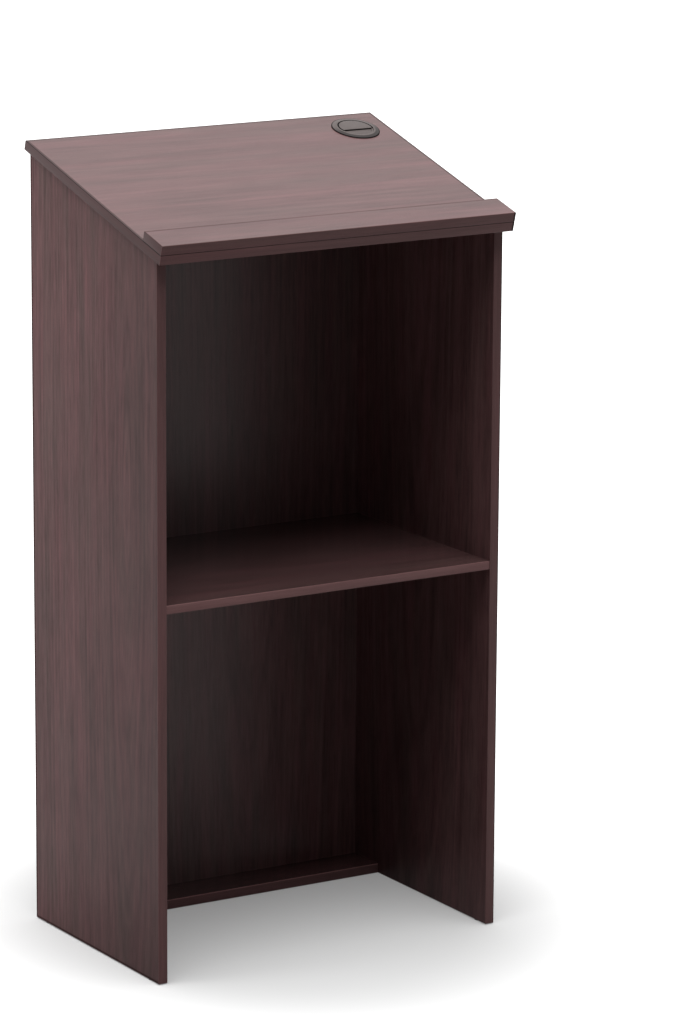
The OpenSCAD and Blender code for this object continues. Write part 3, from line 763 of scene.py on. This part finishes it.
def wood_material(
    name, along, across, seed, gloss, roughness, figure=0.0, ring_centre=0.0, crown=2.0, fineness=1.0,
    shortness=1.6, contrast=1.0, shade=1.0, drift=(0.0, 0.0), edge_line_board=None,
    edge_line_sides=("start", "end", "near", "far"), edge_line_gain=1.0, edge_line_reach=1.0, seam=0.0,
):
    """Wood print whose grain runs along one axis of the lectern and whose board lies across another.

    drift is painted light: how much lighter the print gets per metre along the grain, from MIDDLE, and
    across it, from the middle plane. edge_line_board names a board that has a dark line along its sides, in
    some places painted shade, of which edge_line_sides names the ones that have it: start and end along the
    grain, near and far across it. edge_line_gain multiplies that line's brightness, so that a high one
    makes it light, a painted highlight, and edge_line_reach its width. seam is how far from the plane
    between rail
    and desk the print is dark: painted shade in the groove between them.
    """
    wood = bpy.context.scene.lectern_wood
    material, sheet, position, shader = new_material(name)
    axes = own_axes(along, across)
    grain = on_axes(sheet, position, axes)
    printed = sheet.group("Wood print", wood_print_group, {
        "Grain": grain, "Seed": seed, "Ring Pitch": wood.ring_pitch, "Ring Centre": ring_centre,
        "Crown": crown, "Taper": wood.taper, "Figure": figure, "Fineness": fineness,
        "Shortness": shortness, "Contrast": contrast,
    })
    shown = sheet.mix(printed["Tone"], rgba(wood.dark), rgba(wood.light))
    tint = sheet.mix(printed["Warmth"], rgba(wood.cool), rgba(wood.warm))
    shown = sheet.mix(1.0, shown, tint, "MULTIPLY")
    in_pores = rgba([PORE_SHADE * value for value in wood.dark])
    shown = sheet.mix(sheet.product(printed["Pores"], PORE_SHOW), shown, in_pores)
    rough = handled(sheet, position, roughness, WOOD_HANDLING)

    # Painted light: drift makes the print lighter or darker along and across the board
    parts = sheet.parts(grain)
    gain = shade * wood.tint_gain
    painted_light_gain = sheet.math("MULTIPLY_ADD", parts["X"], gain * drift[0], gain * (1 - drift[0] * MIDDLE))
    painted_light_gain = sheet.math("MULTIPLY_ADD", parts["Y"], gain * drift[1], painted_light_gain)
    shown = sheet.shade(shown, painted_light_gain)
    # A line along chosen sides of the board: dark, painted shade at the rail's rear, or with a high
    # edge_line_gain light, a painted highlight
    if edge_line_board:
        # A side without the line is taken a metre away
        low, high = node_box(edge_line_board, axes)
        low[:2] -= [float(side not in edge_line_sides) for side in ("start", "near")]
        high[:2] += [float(side not in edge_line_sides) for side in ("end", "far")]
        sides = {"Grain": grain, "Low": low, "High": high, "Width": edge_line_reach * wood.edge_line_width}
        mask = sheet.group("Near sides", near_sides_group, sides)["Mask"]
        shown = sheet.shade(shown, edge_line_gain * wood.edge_line_shade, mask)
        rough = sheet.math("MULTIPLY_ADD", mask, wood.edge_line_roughness, rough)
    # Painted shade in the groove between rail and desk
    if seam:
        height = sheet.vector_math("DOT_PRODUCT", position, DESK_NORMAL, output="Value")
        off_plane = sheet.math("SUBTRACT", height, GROMMET_CENTRE @ DESK_NORMAL)
        mask = sheet.fall(sheet.math("ABSOLUTE", off_plane), SEAM_CORE * seam, seam)
        shown = sheet.shade(shown, wood.seam_painted_shade, mask)
    sheet.feed(shader, {
        "Base Color": shown,
        "Roughness": rough,
        "Normal": sheet.bump(sheet.product(printed["Pores"], -1.0), wood.pore_depth, PORE_BUMP),
        "Specular IOR Level": gloss,
    })
    return material


def crevice_shade_masks(sheet, position, size):
    """The outputs of the group that paints shade in the crevices, set to the grommet's sizes."""
    return sheet.group("Crevice shade", crevice_shade_group, {
        "Place": on_axes(sheet, position, DESK_AXES, GROMMET_CENTRE),
        "Flange": RING_HIGH[0],
        "Edge": size.edge_height,
        "Opening": LID_HIGH[0] + size.gap,
        "Plate": LID_HIGH[0] - size.plate_step,
        "Plate Top": LID_HIGH[2],
        "Chord": size.chord,
        "Band": size.band,
    })


# Grain size of the texture on plastic, metal and dowels, and its depth and bump where it isn't metal
PLASTIC_TEXTURE = 0.0006
METAL_TEXTURE = 0.0004
DOWEL_TEXTURE = 0.0015
TEXTURE_DEPTH = 0.00004
TEXTURE_BUMP = 0.3

# Specular level of plastic and dowels, and the roughness that the grommet's crevices have on top
PLAIN_GLOSS = 0.5
CREVICE_ROUGHNESS = 0.4


def plain_material(name, tone, roughness, texture=PLASTIC_TEXTURE, gloss=PLAIN_GLOSS, grommet=None):
    """Plastic, or a dowel's bare wood, in one tone and with a fine texture.

    grommet gives the settings of the painted shade in the grommet's crevices and on the band round them.
    """
    material, sheet, position, shader = new_material(name)
    skin = moulded(sheet, position, tone, texture)
    shown = skin["Colour"]
    rough = handled(sheet, position, roughness, PLASTIC_HANDLING)
    # Painted shade: darker in the crevices and on the flange's band where it faces the user
    if grommet:
        masks = crevice_shade_masks(sheet, position, grommet)
        shown = sheet.shade(shown, grommet.band_painted_shade, masks["Front Band Shade"])
        shown = sheet.shade(shown, grommet.crevice_painted_shade, masks["Mask"])
        rough = sheet.math("MULTIPLY_ADD", masks["Mask"], CREVICE_ROUGHNESS, rough)
    sheet.feed(shader, {
        "Base Color": shown,
        "Roughness": rough,
        "Normal": sheet.bump(skin["Height"], TEXTURE_DEPTH, TEXTURE_BUMP),
        "Specular IOR Level": gloss,
    })
    return material


def metal_material(name, tone, roughness):
    """Dull plated or cast metal with a fine uneven skin."""
    material, sheet, position, shader = new_material(name)
    sheet.feed(shader, {
        "Base Color": moulded(sheet, position, tone, METAL_TEXTURE)["Colour"],
        "Roughness": handled(sheet, position, roughness, METAL_HANDLING),
        "Metallic": 1.0,
    })
    return material


def dress(nodes, material):
    """Gives CAD nodes a material in place of their own."""
    for node in nodes:
        for slot in frame["nodes"][node].material_slots:
            slot.material = material


class LECTERN_OT_boards(bpy.types.Operator):
    """Print and finish the seven boards"""

    bl_idname = "lectern.boards"
    bl_label = "Boards"

    def execute(self, context):
        wood = context.scene.lectern_wood
        upright = {
            "gloss": wood.upright_gloss, "roughness": wood.roughness, "shortness": 3.5, "contrast": 0.95,
        }
        outer = {"gloss": wood.level_gloss, "roughness": wood.level_roughness, "contrast": 0.85}
        inner = {"gloss": wood.level_gloss, "roughness": wood.inner_roughness, "contrast": 0.85}
        boards = {
            # Painted light: the left panel is lighter towards the top and much lighter towards the rear
            "left_side_panel": wood_material(
                "wood_left_side", Z, Y, seed=3.1, figure=1.2, ring_centre=-0.09, crown=0.75, shade=0.95,
                drift=(0.2, 1.1), edge_line_board="left_side_panel", edge_line_sides=("start", "far"), **upright,
            ),
            # Painted light: the right panel is lighter towards the top
            "right_side_panel": wood_material(
                "wood_right_side", Z, Y, seed=7.4, figure=1.0, ring_centre=0.02, crown=1.5,
                drift=(0.35, 0.0), **upright,
            ),
            # Painted shade inside the lectern: the back panel is darker, and darker towards the top
            "back_panel": wood_material(
                "wood_back", Z, X, seed=12.7, gloss=wood.back_gloss, roughness=wood.back_roughness,
                figure=0.9, ring_centre=0.08, crown=1.1, fineness=1.5, shortness=3.0, contrast=1.3,
                shade=0.74, drift=(-0.6, 0.0), edge_line_board="back_panel",
            ),
            "desk_top": wood_material(
                "wood_desk", X, UP_SLOPE, seed=17.2, figure=0.6, ring_centre=0.9, edge_line_board="desk_top",
                **outer,
            ),
            # Painted shade along the rail's rear, where it meets the desk
            "stop_rail": wood_material(
                "wood_rail", X, UP_SLOPE, seed=23.9, figure=0.4, ring_centre=0.6, edge_line_board="stop_rail",
                edge_line_sides=("far",), edge_line_gain=1.6, **outer,
            ),
            # Painted shade: the shelf and the foot board are darker
            "shelf": wood_material("wood_shelf", X, Y, seed=29.3, figure=0.6, shade=0.70, **inner),
            "foot_board": wood_material("wood_foot_board", X, Y, seed=34.8, figure=0.4, shade=0.8, **inner),
        }
        for node, material in boards.items():
            dress([node], material)
        return {"FINISHED"}


# Reach of the seam's painted shade on the left strips against its reach on the front ones
LEFT_SEAM = 1.5


class LECTERN_OT_edging(bpy.types.Operator):
    """Make the fourteen glued edging strips with eased edges"""

    bl_idname = "lectern.edging"
    bl_label = "Edging strips"

    def execute(self, context):
        edging = context.scene.lectern_edging
        wood = context.scene.lectern_wood
        finish = {"gloss": wood.edging_gloss, "roughness": wood.edging_roughness, "contrast": 0.6}
        # Painted light and shade: one edging in lighter and darker copies; the upright strips get lighter
        # towards the bottom
        upright = wood_material(
            "wood_edging_upright", Z, X, seed=41.5, shade=0.96, drift=(-0.35, 0.0),
            edge_line_board="right_side_front_edging", edge_line_sides=("far",), edge_line_gain=0.3, edge_line_reach=0.5, **finish,
        )
        front = wood_material(
            "wood_edging_front", X, DESK_NORMAL, seed=47.7, shade=1.08, edge_line_board="desk_front_edging",
            edge_line_sides=("end",), edge_line_gain=0.2, seam=wood.seam_width, **finish,
        )
        # Painted shade: the rear strips are darker
        rear = wood_material("wood_edging_rear", X, DESK_NORMAL, seed=49.1, shade=0.5, **finish)
        left = wood_material(
            "wood_edging_left", UP_SLOPE, DESK_NORMAL, seed=61.7, shade=0.62,
            seam=LEFT_SEAM * wood.seam_width, **finish,
        )
        # Painted shade: the right strips are nearly black
        right = wood_material("wood_edging_right", UP_SLOPE, DESK_NORMAL, seed=55.8, shade=0.15, **finish)
        # Painted light: the shelf's front strip is lighter
        shelf_front = wood_material("wood_edging_shelf", X, Z, seed=57.3, shade=1.4, **finish)
        # Painted light: the foot board's front strip is lighter, with a painted highlight along its top
        # edge
        foot_front = wood_material(
            "wood_edging_foot_board", X, Z, seed=58.1, shade=1.25, edge_line_board="foot_board_front_edging",
            edge_line_sides=("far",), edge_line_gain=5.0, edge_line_reach=0.35, **finish,
        )
        # Painted shade: the bottom strips are darker
        floor_run = wood_material("wood_edging_bottom", Y, X, seed=59.6, shade=0.7, **finish)
        strips = []
        for side in ("left", "right"):
            strips.append((f"{side}_side_front_edging", Z, -Y, upright))
            strips.append((f"{side}_side_bottom_edging", Y, -Z, floor_run))
        for board in ("desk", "rail"):
            strips.append((f"{board}_front_edging", X, -UP_SLOPE, front))
            strips.append((f"{board}_rear_edging", X, UP_SLOPE, rear))
            strips.append((f"{board}_left_edging", UP_SLOPE, -X, left))
            strips.append((f"{board}_right_edging", UP_SLOPE, X, right))
        strips.append(("shelf_front_edging", X, -Y, shelf_front))
        strips.append(("foot_board_front_edging", X, -Y, foot_front))
        slope = -DESK_NORMAL[1] / DESK_NORMAL[2]
        for node, along, outward, material in strips:
            axes = own_axes(along, outward)
            low, high = node_box(node, axes)
            lean = slope if node.endswith("side_front_edging") else 0.0
            skin = Skin()
            skin.add_rings(bar_rings(low, high, edging, lean))
            skin.place(axes, np.zeros(3))
            skin.build(node.replace("edging", "edge_strip"), "lectern", material, "wood_edging", node)
        return {"FINISHED"}


class LECTERN_OT_fittings(bpy.types.Operator):
    """Finish the bolts, cam locks, dowels, screws, nails, cover discs and floor glides"""

    bl_idname = "lectern.fittings"
    bl_label = "Fittings"

    def execute(self, context):
        tones = context.scene.lectern_fittings
        steel = metal_material("plated_steel", tones.steel, roughness=0.34)
        zinc = metal_material("cast_zinc", tones.zinc, roughness=0.55)
        cover = plain_material("cover_disc_film", tones.cover, roughness=0.45)
        glide = plain_material("glide_plastic", tones.glide, roughness=0.6)
        beech = plain_material("beech_dowel", tones.beech, roughness=0.7, texture=DOWEL_TEXTURE)
        joints = ("shelf", "foot_board", "desk")
        dress([f"{joint}_cam_bolts" for joint in joints] + ["rail_screws", "back_panel_nails"], steel)
        dress([f"{joint}_cam_locks" for joint in joints], zinc)
        dress([f"{joint}_dowels" for joint in joints], beech)
        dress(["cam_covers"], cover)
        dress(["floor_glides"], glide)
        return {"FINISHED"}


# Radii of the grommet's edges: the crest of the flange, edges that are seen, the inside of the lid's
# rim, outer and inner corners, fine edges, the foot of the flange, and edges within the sleeve's wall
CREST_ROUND = 0.0016
SEEN_ROUND = 0.0005
RIM_ROUND = 0.0004
OUTER_ROUND = 0.0003
INNER_ROUND = 0.0002
FINE_ROUND = 0.0001
FLANGE_FOOT_ROUND = 0.00008
BURIED_ROUND = 0.00005

# Barbs round the sleeve, half the angle that one fills, and the rings that it is skinned from
BARBS = 4
HALF_BARB = math.radians(12)
BARB_RINGS = 9

# Radius of the raised plate's corners, and how far one layer reaches into the next
PLATE_CORNER = 0.0009
TUCK = 0.0002

# Hole through the boss as a share of its radius, its rings, and points along the shutter's edge
BOSS_HOLE = 0.3
BOSS_RINGS = 32
EDGE_STEPS = 8


def build_grommet_piece(skin, name, body, replaced):
    """Puts a piece of the grommet in its place and builds it with the plastic that all three share."""
    size = bpy.context.scene.lectern_grommet
    plastic = bpy.data.materials.get("moulded_grommet") or plain_material(
        "moulded_grommet", size.colour, size.roughness, gloss=size.gloss, grommet=size
    )
    skin.place(DESK_AXES, GROMMET_CENTRE)
    skin.build(name, body, plastic, "grommet_plastic", replaced)


class LECTERN_OT_grommet_ring(bpy.types.Operator):
    """Make the grommet's ring with its flange, sleeve, ledge and barbs"""

    bl_idname = "lectern.grommet_ring"
    bl_label = "Grommet ring"

    def execute(self, context):
        size = context.scene.lectern_grommet
        flange = RING_HIGH[0]
        top = RING_HIGH[2]
        bottom = RING_LOW[2]
        inner = LID_HIGH[0] + size.gap
        ledge = inner - size.ledge_width
        shelf = -size.ledge_depth
        under = shelf - size.ledge_thickness
        profile = filleted([
            (inner, top, SEEN_ROUND),
            (flange - size.band, top, CREST_ROUND),
            (flange, size.edge_height, OUTER_ROUND),
            (flange, 0.0, FLANGE_FOOT_ROUND),
            (size.sleeve, 0.0, INNER_ROUND),
            (size.sleeve, bottom, OUTER_ROUND),
            (inner, bottom, OUTER_ROUND),
            (inner, under, INNER_ROUND),
            (ledge, under, OUTER_ROUND),
            (ledge, shelf, OUTER_ROUND),
            (inner, shelf, INNER_ROUND),
        ])
        skin = Skin()
        skin.add_turned(profile)
        desk_under = node_box("desk_top", DESK_AXES, GROMMET_CENTRE)[0][2]
        barb_top = desk_under - size.gap
        in_wall = (inner + size.sleeve) / 2
        barb = filleted([
            (in_wall, barb_top, BURIED_ROUND),
            (size.sleeve + size.barb, barb_top, OUTER_ROUND),
            (size.sleeve, bottom, FINE_ROUND),
            (in_wall, bottom, BURIED_ROUND),
        ])
        for middle in whole_turn(BARBS) + np.pi / BARBS:
            angles = np.linspace(middle - HALF_BARB, middle + HALF_BARB, BARB_RINGS)
            skin.add_rings(turned_rings(*barb.T, angles))
        build_grommet_piece(skin, "grommet_flange_ring", "lectern", "grommet_ring")
        return {"FINISHED"}


class LECTERN_OT_grommet_lid(bpy.types.Operator):
    """Make the grommet's lid with its raised plate and pivot boss"""

    bl_idname = "lectern.grommet_lid"
    bl_label = "Grommet lid"

    def execute(self, context):
        size = context.scene.lectern_grommet
        outer = LID_HIGH[0]
        plate_top = LID_HIGH[2]
        bottom = LID_LOW[2]
        inner = outer - size.rim_width
        skirt = outer - size.ledge_width
        seat = inner - size.seat_width
        shelf = -size.ledge_depth
        lip_top = SHUTTER_LOW[2] - size.gap
        lip_low = lip_top - size.head_thickness
        profile = filleted([
            (inner, size.rim_height, RIM_ROUND),
            (outer, size.rim_height, SEEN_ROUND),
            (outer, shelf, OUTER_ROUND),
            (skirt, shelf, INNER_ROUND),
            (skirt, bottom, OUTER_ROUND),
            (inner, bottom, INNER_ROUND),
            (inner, lip_low, INNER_ROUND),
            (seat, lip_low, OUTER_ROUND),
            (seat, lip_top, OUTER_ROUND),
            (inner, lip_top, INNER_ROUND),
        ])
        skin = Skin()
        skin.add_turned(profile)
        low_plate = size.rim_height - size.plate
        plate_radius = outer - size.plate_step
        lower = half_moon(inner + TUCK, size.chord, PLATE_CORNER)
        upper = half_moon(plate_radius, size.chord, PLATE_CORNER)
        levels = [level(lower, low_plate)]
        levels += [level(outline, size.rim_height - TUCK) for outline in (lower, upper)]
        for inset, drop in zip(*round_over(SEEN_ROUND, FILLET_STEPS + 1)):
            outline = half_moon(plate_radius, size.chord, PLATE_CORNER, inset)
            levels.append(level(outline, plate_top - drop))
        skin.add_rings(np.array(levels))
        hole = BOSS_HOLE * size.boss
        boss = filleted([
            (hole, low_plate + TUCK, FINE_ROUND),
            (hole, lip_low, INNER_ROUND),
            (size.boss_head, lip_low, OUTER_ROUND),
            (size.boss_head, lip_top, INNER_ROUND),
            (size.boss, lip_top, FINE_ROUND),
            (size.boss, low_plate + TUCK, FINE_ROUND),
        ])
        skin.add_turned(boss, BOSS_RINGS)
        build_grommet_piece(skin, "grommet_lid_plate", "lid", "grommet_lid")
        return {"FINISHED"}


class LECTERN_OT_grommet_shutter(bpy.types.Operator):
    """Make the grommet's half-round turning shutter"""

    bl_idname = "lectern.grommet_shutter"
    bl_label = "Grommet shutter"

    def execute(self, context):
        size = context.scene.lectern_grommet
        rim = SHUTTER_HIGH[0]
        low = SHUTTER_LOW[2]

        # Round the hub behind, out along one straight edge, round the rim, and back along the other edge
        out = np.linspace(size.hub, rim, EDGE_STEPS)
        dip = np.arcsin(size.gap / out)
        hub_angles = np.linspace(-dip[0], np.pi + dip[0], TURN_STEPS // 2)[1:-1]
        rim_angles = np.linspace(np.pi + dip[-1], 2 * np.pi - dip[-1], TURN_STEPS // 2)[1:-1]
        angles = np.concatenate([hub_angles, np.pi + dip, rim_angles, 2 * np.pi - dip[::-1]])
        round_hub = np.full(len(hub_angles), size.hub)
        round_rim = np.full(len(rim_angles), rim)
        reach = np.concatenate([round_hub, out, round_rim, out[::-1]])[:, None]

        from_side, from_end = round_over(OUTER_ROUND)
        inset = np.concatenate([from_end, from_side])
        rise = np.concatenate([[0.0], from_side, size.shutter - from_end, [size.shutter]])
        bore = np.full_like(reach, size.bore)
        skin = Skin()
        radii = np.hstack([bore, reach - inset, bore])
        skin.add_rings(turned_rings(radii, low + rise, angles), wrap=True)
        rib_front = size.rib_from_rim - rim
        rib_back = rib_front + size.rib_width
        rib = filleted([
            (rib_front, low + size.gap, FINE_ROUND),
            (rib_back, low + size.gap, FINE_ROUND),
            (rib_back, SHUTTER_HIGH[2], FINE_ROUND),
            (rib_front, SHUTTER_HIGH[2], FINE_ROUND),
        ])
        ends = (-size.rib_length / 2, size.rib_length / 2)
        skin.add_rings(np.array([across_axis(rib, end) for end in ends]))
        build_grommet_piece(skin, "grommet_turning_shutter", "shutter", "grommet_shutter")
        return {"FINISHED"}


class LECTERN_OT_studio(bpy.types.Operator):
    """Set up the floor, the light and the camera"""

    bl_idname = "lectern.studio"
    bl_label = "Studio"

    def execute(self, context):
        scene = context.scene
        studio = scene.lectern_studio
        scene.view_settings.view_transform = "Standard"
        self.make_floor(studio)
        self.make_world(scene, studio)
        self.make_key_light(studio)
        self.make_light_panel(studio)
        self.make_camera(scene, studio)
        return {"FINISHED"}

    def seen(self, sheet):
        """1 for rays from the camera, from a reflection or through glass, and 0 for scattered light."""
        path = sheet.add("ShaderNodeLightPath")
        direct = sheet.math("MAXIMUM", path["Is Camera Ray"], path["Is Glossy Ray"])
        return sheet.math("MAXIMUM", direct, path["Is Transmission Ray"])

    def make_floor(self, studio):
        """A level disc whose seen colour is paler than what it sends back up, and painted darker round the
        lectern as a painted shadow.
        """
        mesh = bpy.data.meshes.new("studio_floor")
        rim = level(arc(studio.floor_radius, whole_turn()), 0.0)
        mesh.from_pydata(rim, [], [list(range(TURN_STEPS))])
        material = bpy.data.materials.new("pale_floor")
        sheet = clear_sheet(material)
        position = sheet.add("ShaderNodeTexCoord")["Object"]
        # Painted shadow: darker paint in the middle round the lectern, paler further out
        narrowed = sheet.vector_math("MULTIPLY", position, (studio.floor_narrowing, 1.0, 0.0))
        radius = sheet.vector_math("LENGTH", narrowed, output="Value")
        outness = sheet.band(radius, studio.floor_near, studio.floor_far)
        shadowed_paint = sheet.mix(outness, rgba(studio.floor), rgba(studio.far_floor))
        lit = sheet.add("ShaderNodeBsdfDiffuse", {"Color": shadowed_paint})[0]
        lift = sheet.add("ShaderNodeEmission", {"Strength": studio.floor_lift})[0]
        shown = sheet.add("ShaderNodeAddShader", {0: lit, 1: lift})[0]
        bounced = sheet.add("ShaderNodeBsdfDiffuse", {"Color": rgba(studio.bounce)})[0]
        both = sheet.add("ShaderNodeMixShader", {0: self.seen(sheet), 1: bounced, 2: shown})[0]
        sheet.add("ShaderNodeOutputMaterial", {"Surface": both})
        mesh.materials.append(material)
        floor = new_object("studio_floor", mesh)

    def make_world(self, scene, studio):
        """White where it is seen, and a plain soft light from all round otherwise."""
        world = bpy.data.worlds.new("studio_air")
        sheet = clear_sheet(world)
        inputs = {"Value": self.seen(sheet), "To Min": studio.ambient, "To Max": 1.0}
        strength = sheet.add("ShaderNodeMapRange", inputs)["Result"]
        air = sheet.add("ShaderNodeBackground", {"Color": rgba([1.0] * 3), "Strength": strength})[0]
        sheet.add("ShaderNodeOutputWorld", {"Surface": air})
        scene.world = world

    def make_key_light(self, studio):
        """A wide soft light overhead, leaning to the left and a little to the front."""
        lamp = bpy.data.lights.new("soft_overhead", "SUN")
        lamp.energy = studio.key
        lamp.angle = studio.key_spread
        new_object("soft_overhead", lamp).rotation_euler = (studio.key_front, -studio.key_side, 0.0)

    def make_light_panel(self, studio):
        """A square light panel up to the left, near enough to light the top more than the foot."""
        lamp = bpy.data.lights.new("light_panel", "AREA")
        lamp.energy = studio.panel_power
        lamp.size = studio.panel_size
        panel = new_object("light_panel", lamp)
        panel.location = studio.panel_place
        sight = Vector((0.0, 0.0, studio.panel_aim)) - panel.location
        panel.rotation_euler = sight.to_track_quat("-Z", "Y").to_euler()

    def make_camera(self, scene, studio):
        """A camera at the photograph's place, turned by yaw, pitch and roll."""
        data = bpy.data.cameras.new("camera")
        data.lens = studio.lens
        data.sensor_width = 36.0
        data.clip_end = 200.0
        ahead = np.array([math.sin(studio.yaw), math.cos(studio.yaw), 0.0])
        forward = ahead * math.cos(studio.pitch) - Z * math.sin(studio.pitch)
        right = np.cross(ahead, Z)
        up = np.cross(right, forward)
        matrix = np.eye(4)
        matrix[:3, 0] = right * math.cos(studio.roll) + up * math.sin(studio.roll)
        matrix[:3, 1] = up * math.cos(studio.roll) - right * math.sin(studio.roll)
        matrix[:3, 2] = -forward
        matrix[:3, 3] = studio.camera
        scene.camera = new_object("camera", data)
        scene.camera.matrix_world = Matrix(matrix.tolist())


OPERATORS = (
    LECTERN_OT_studio,
    LECTERN_OT_boards,
    LECTERN_OT_edging,
    LECTERN_OT_fittings,
    LECTERN_OT_grommet_ring,
    LECTERN_OT_grommet_lid,
    LECTERN_OT_grommet_shutter,
)
SETTINGS = {
    "lectern_wood": LecternWood,
    "lectern_edging": LecternEdging,
    "lectern_grommet": LecternGrommet,
    "lectern_fittings": LecternFittings,
    "lectern_studio": LecternStudio,
}


class LECTERN_PT_sidebar(bpy.types.Panel):
    """Buttons and settings of the lectern's dressing"""

    bl_idname = "LECTERN_PT_sidebar"
    bl_label = "Lectern"
    bl_space_type = "VIEW_3D"
    bl_region_type = "UI"
    bl_category = "Lectern"

    def draw(self, context):
        for operator in OPERATORS:
            self.layout.operator(operator.bl_idname)
        for name, settings in SETTINGS.items():
            box = self.layout.box()
            box.label(text=settings.__doc__)
            for prop in settings.__annotations__:
                box.prop(getattr(context.scene, name), prop)


def register():
    """Registers the settings, the operators and the panel."""
    for name, settings in SETTINGS.items():
        bpy.utils.register_class(settings)
        setattr(bpy.types.Scene, name, PointerProperty(type=settings))
    for operator in OPERATORS:
        bpy.utils.register_class(operator)
    bpy.utils.register_class(LECTERN_PT_sidebar)


def unregister():
    """Takes back what register did, in reverse."""
    bpy.utils.unregister_class(LECTERN_PT_sidebar)
    for operator in reversed(OPERATORS):
        bpy.utils.unregister_class(operator)
    for name, settings in reversed(SETTINGS.items()):
        delattr(bpy.types.Scene, name)
        bpy.utils.unregister_class(settings)


def main():
    """Dresses the lectern."""
    register()
    bpy.ops.lectern.studio()
    bpy.ops.lectern.boards()
    bpy.ops.lectern.edging()
    bpy.ops.lectern.fittings()
    bpy.ops.lectern.grommet_ring()
    bpy.ops.lectern.grommet_lid()
    bpy.ops.lectern.grommet_shutter()


if __name__ == "__main__":
    main()
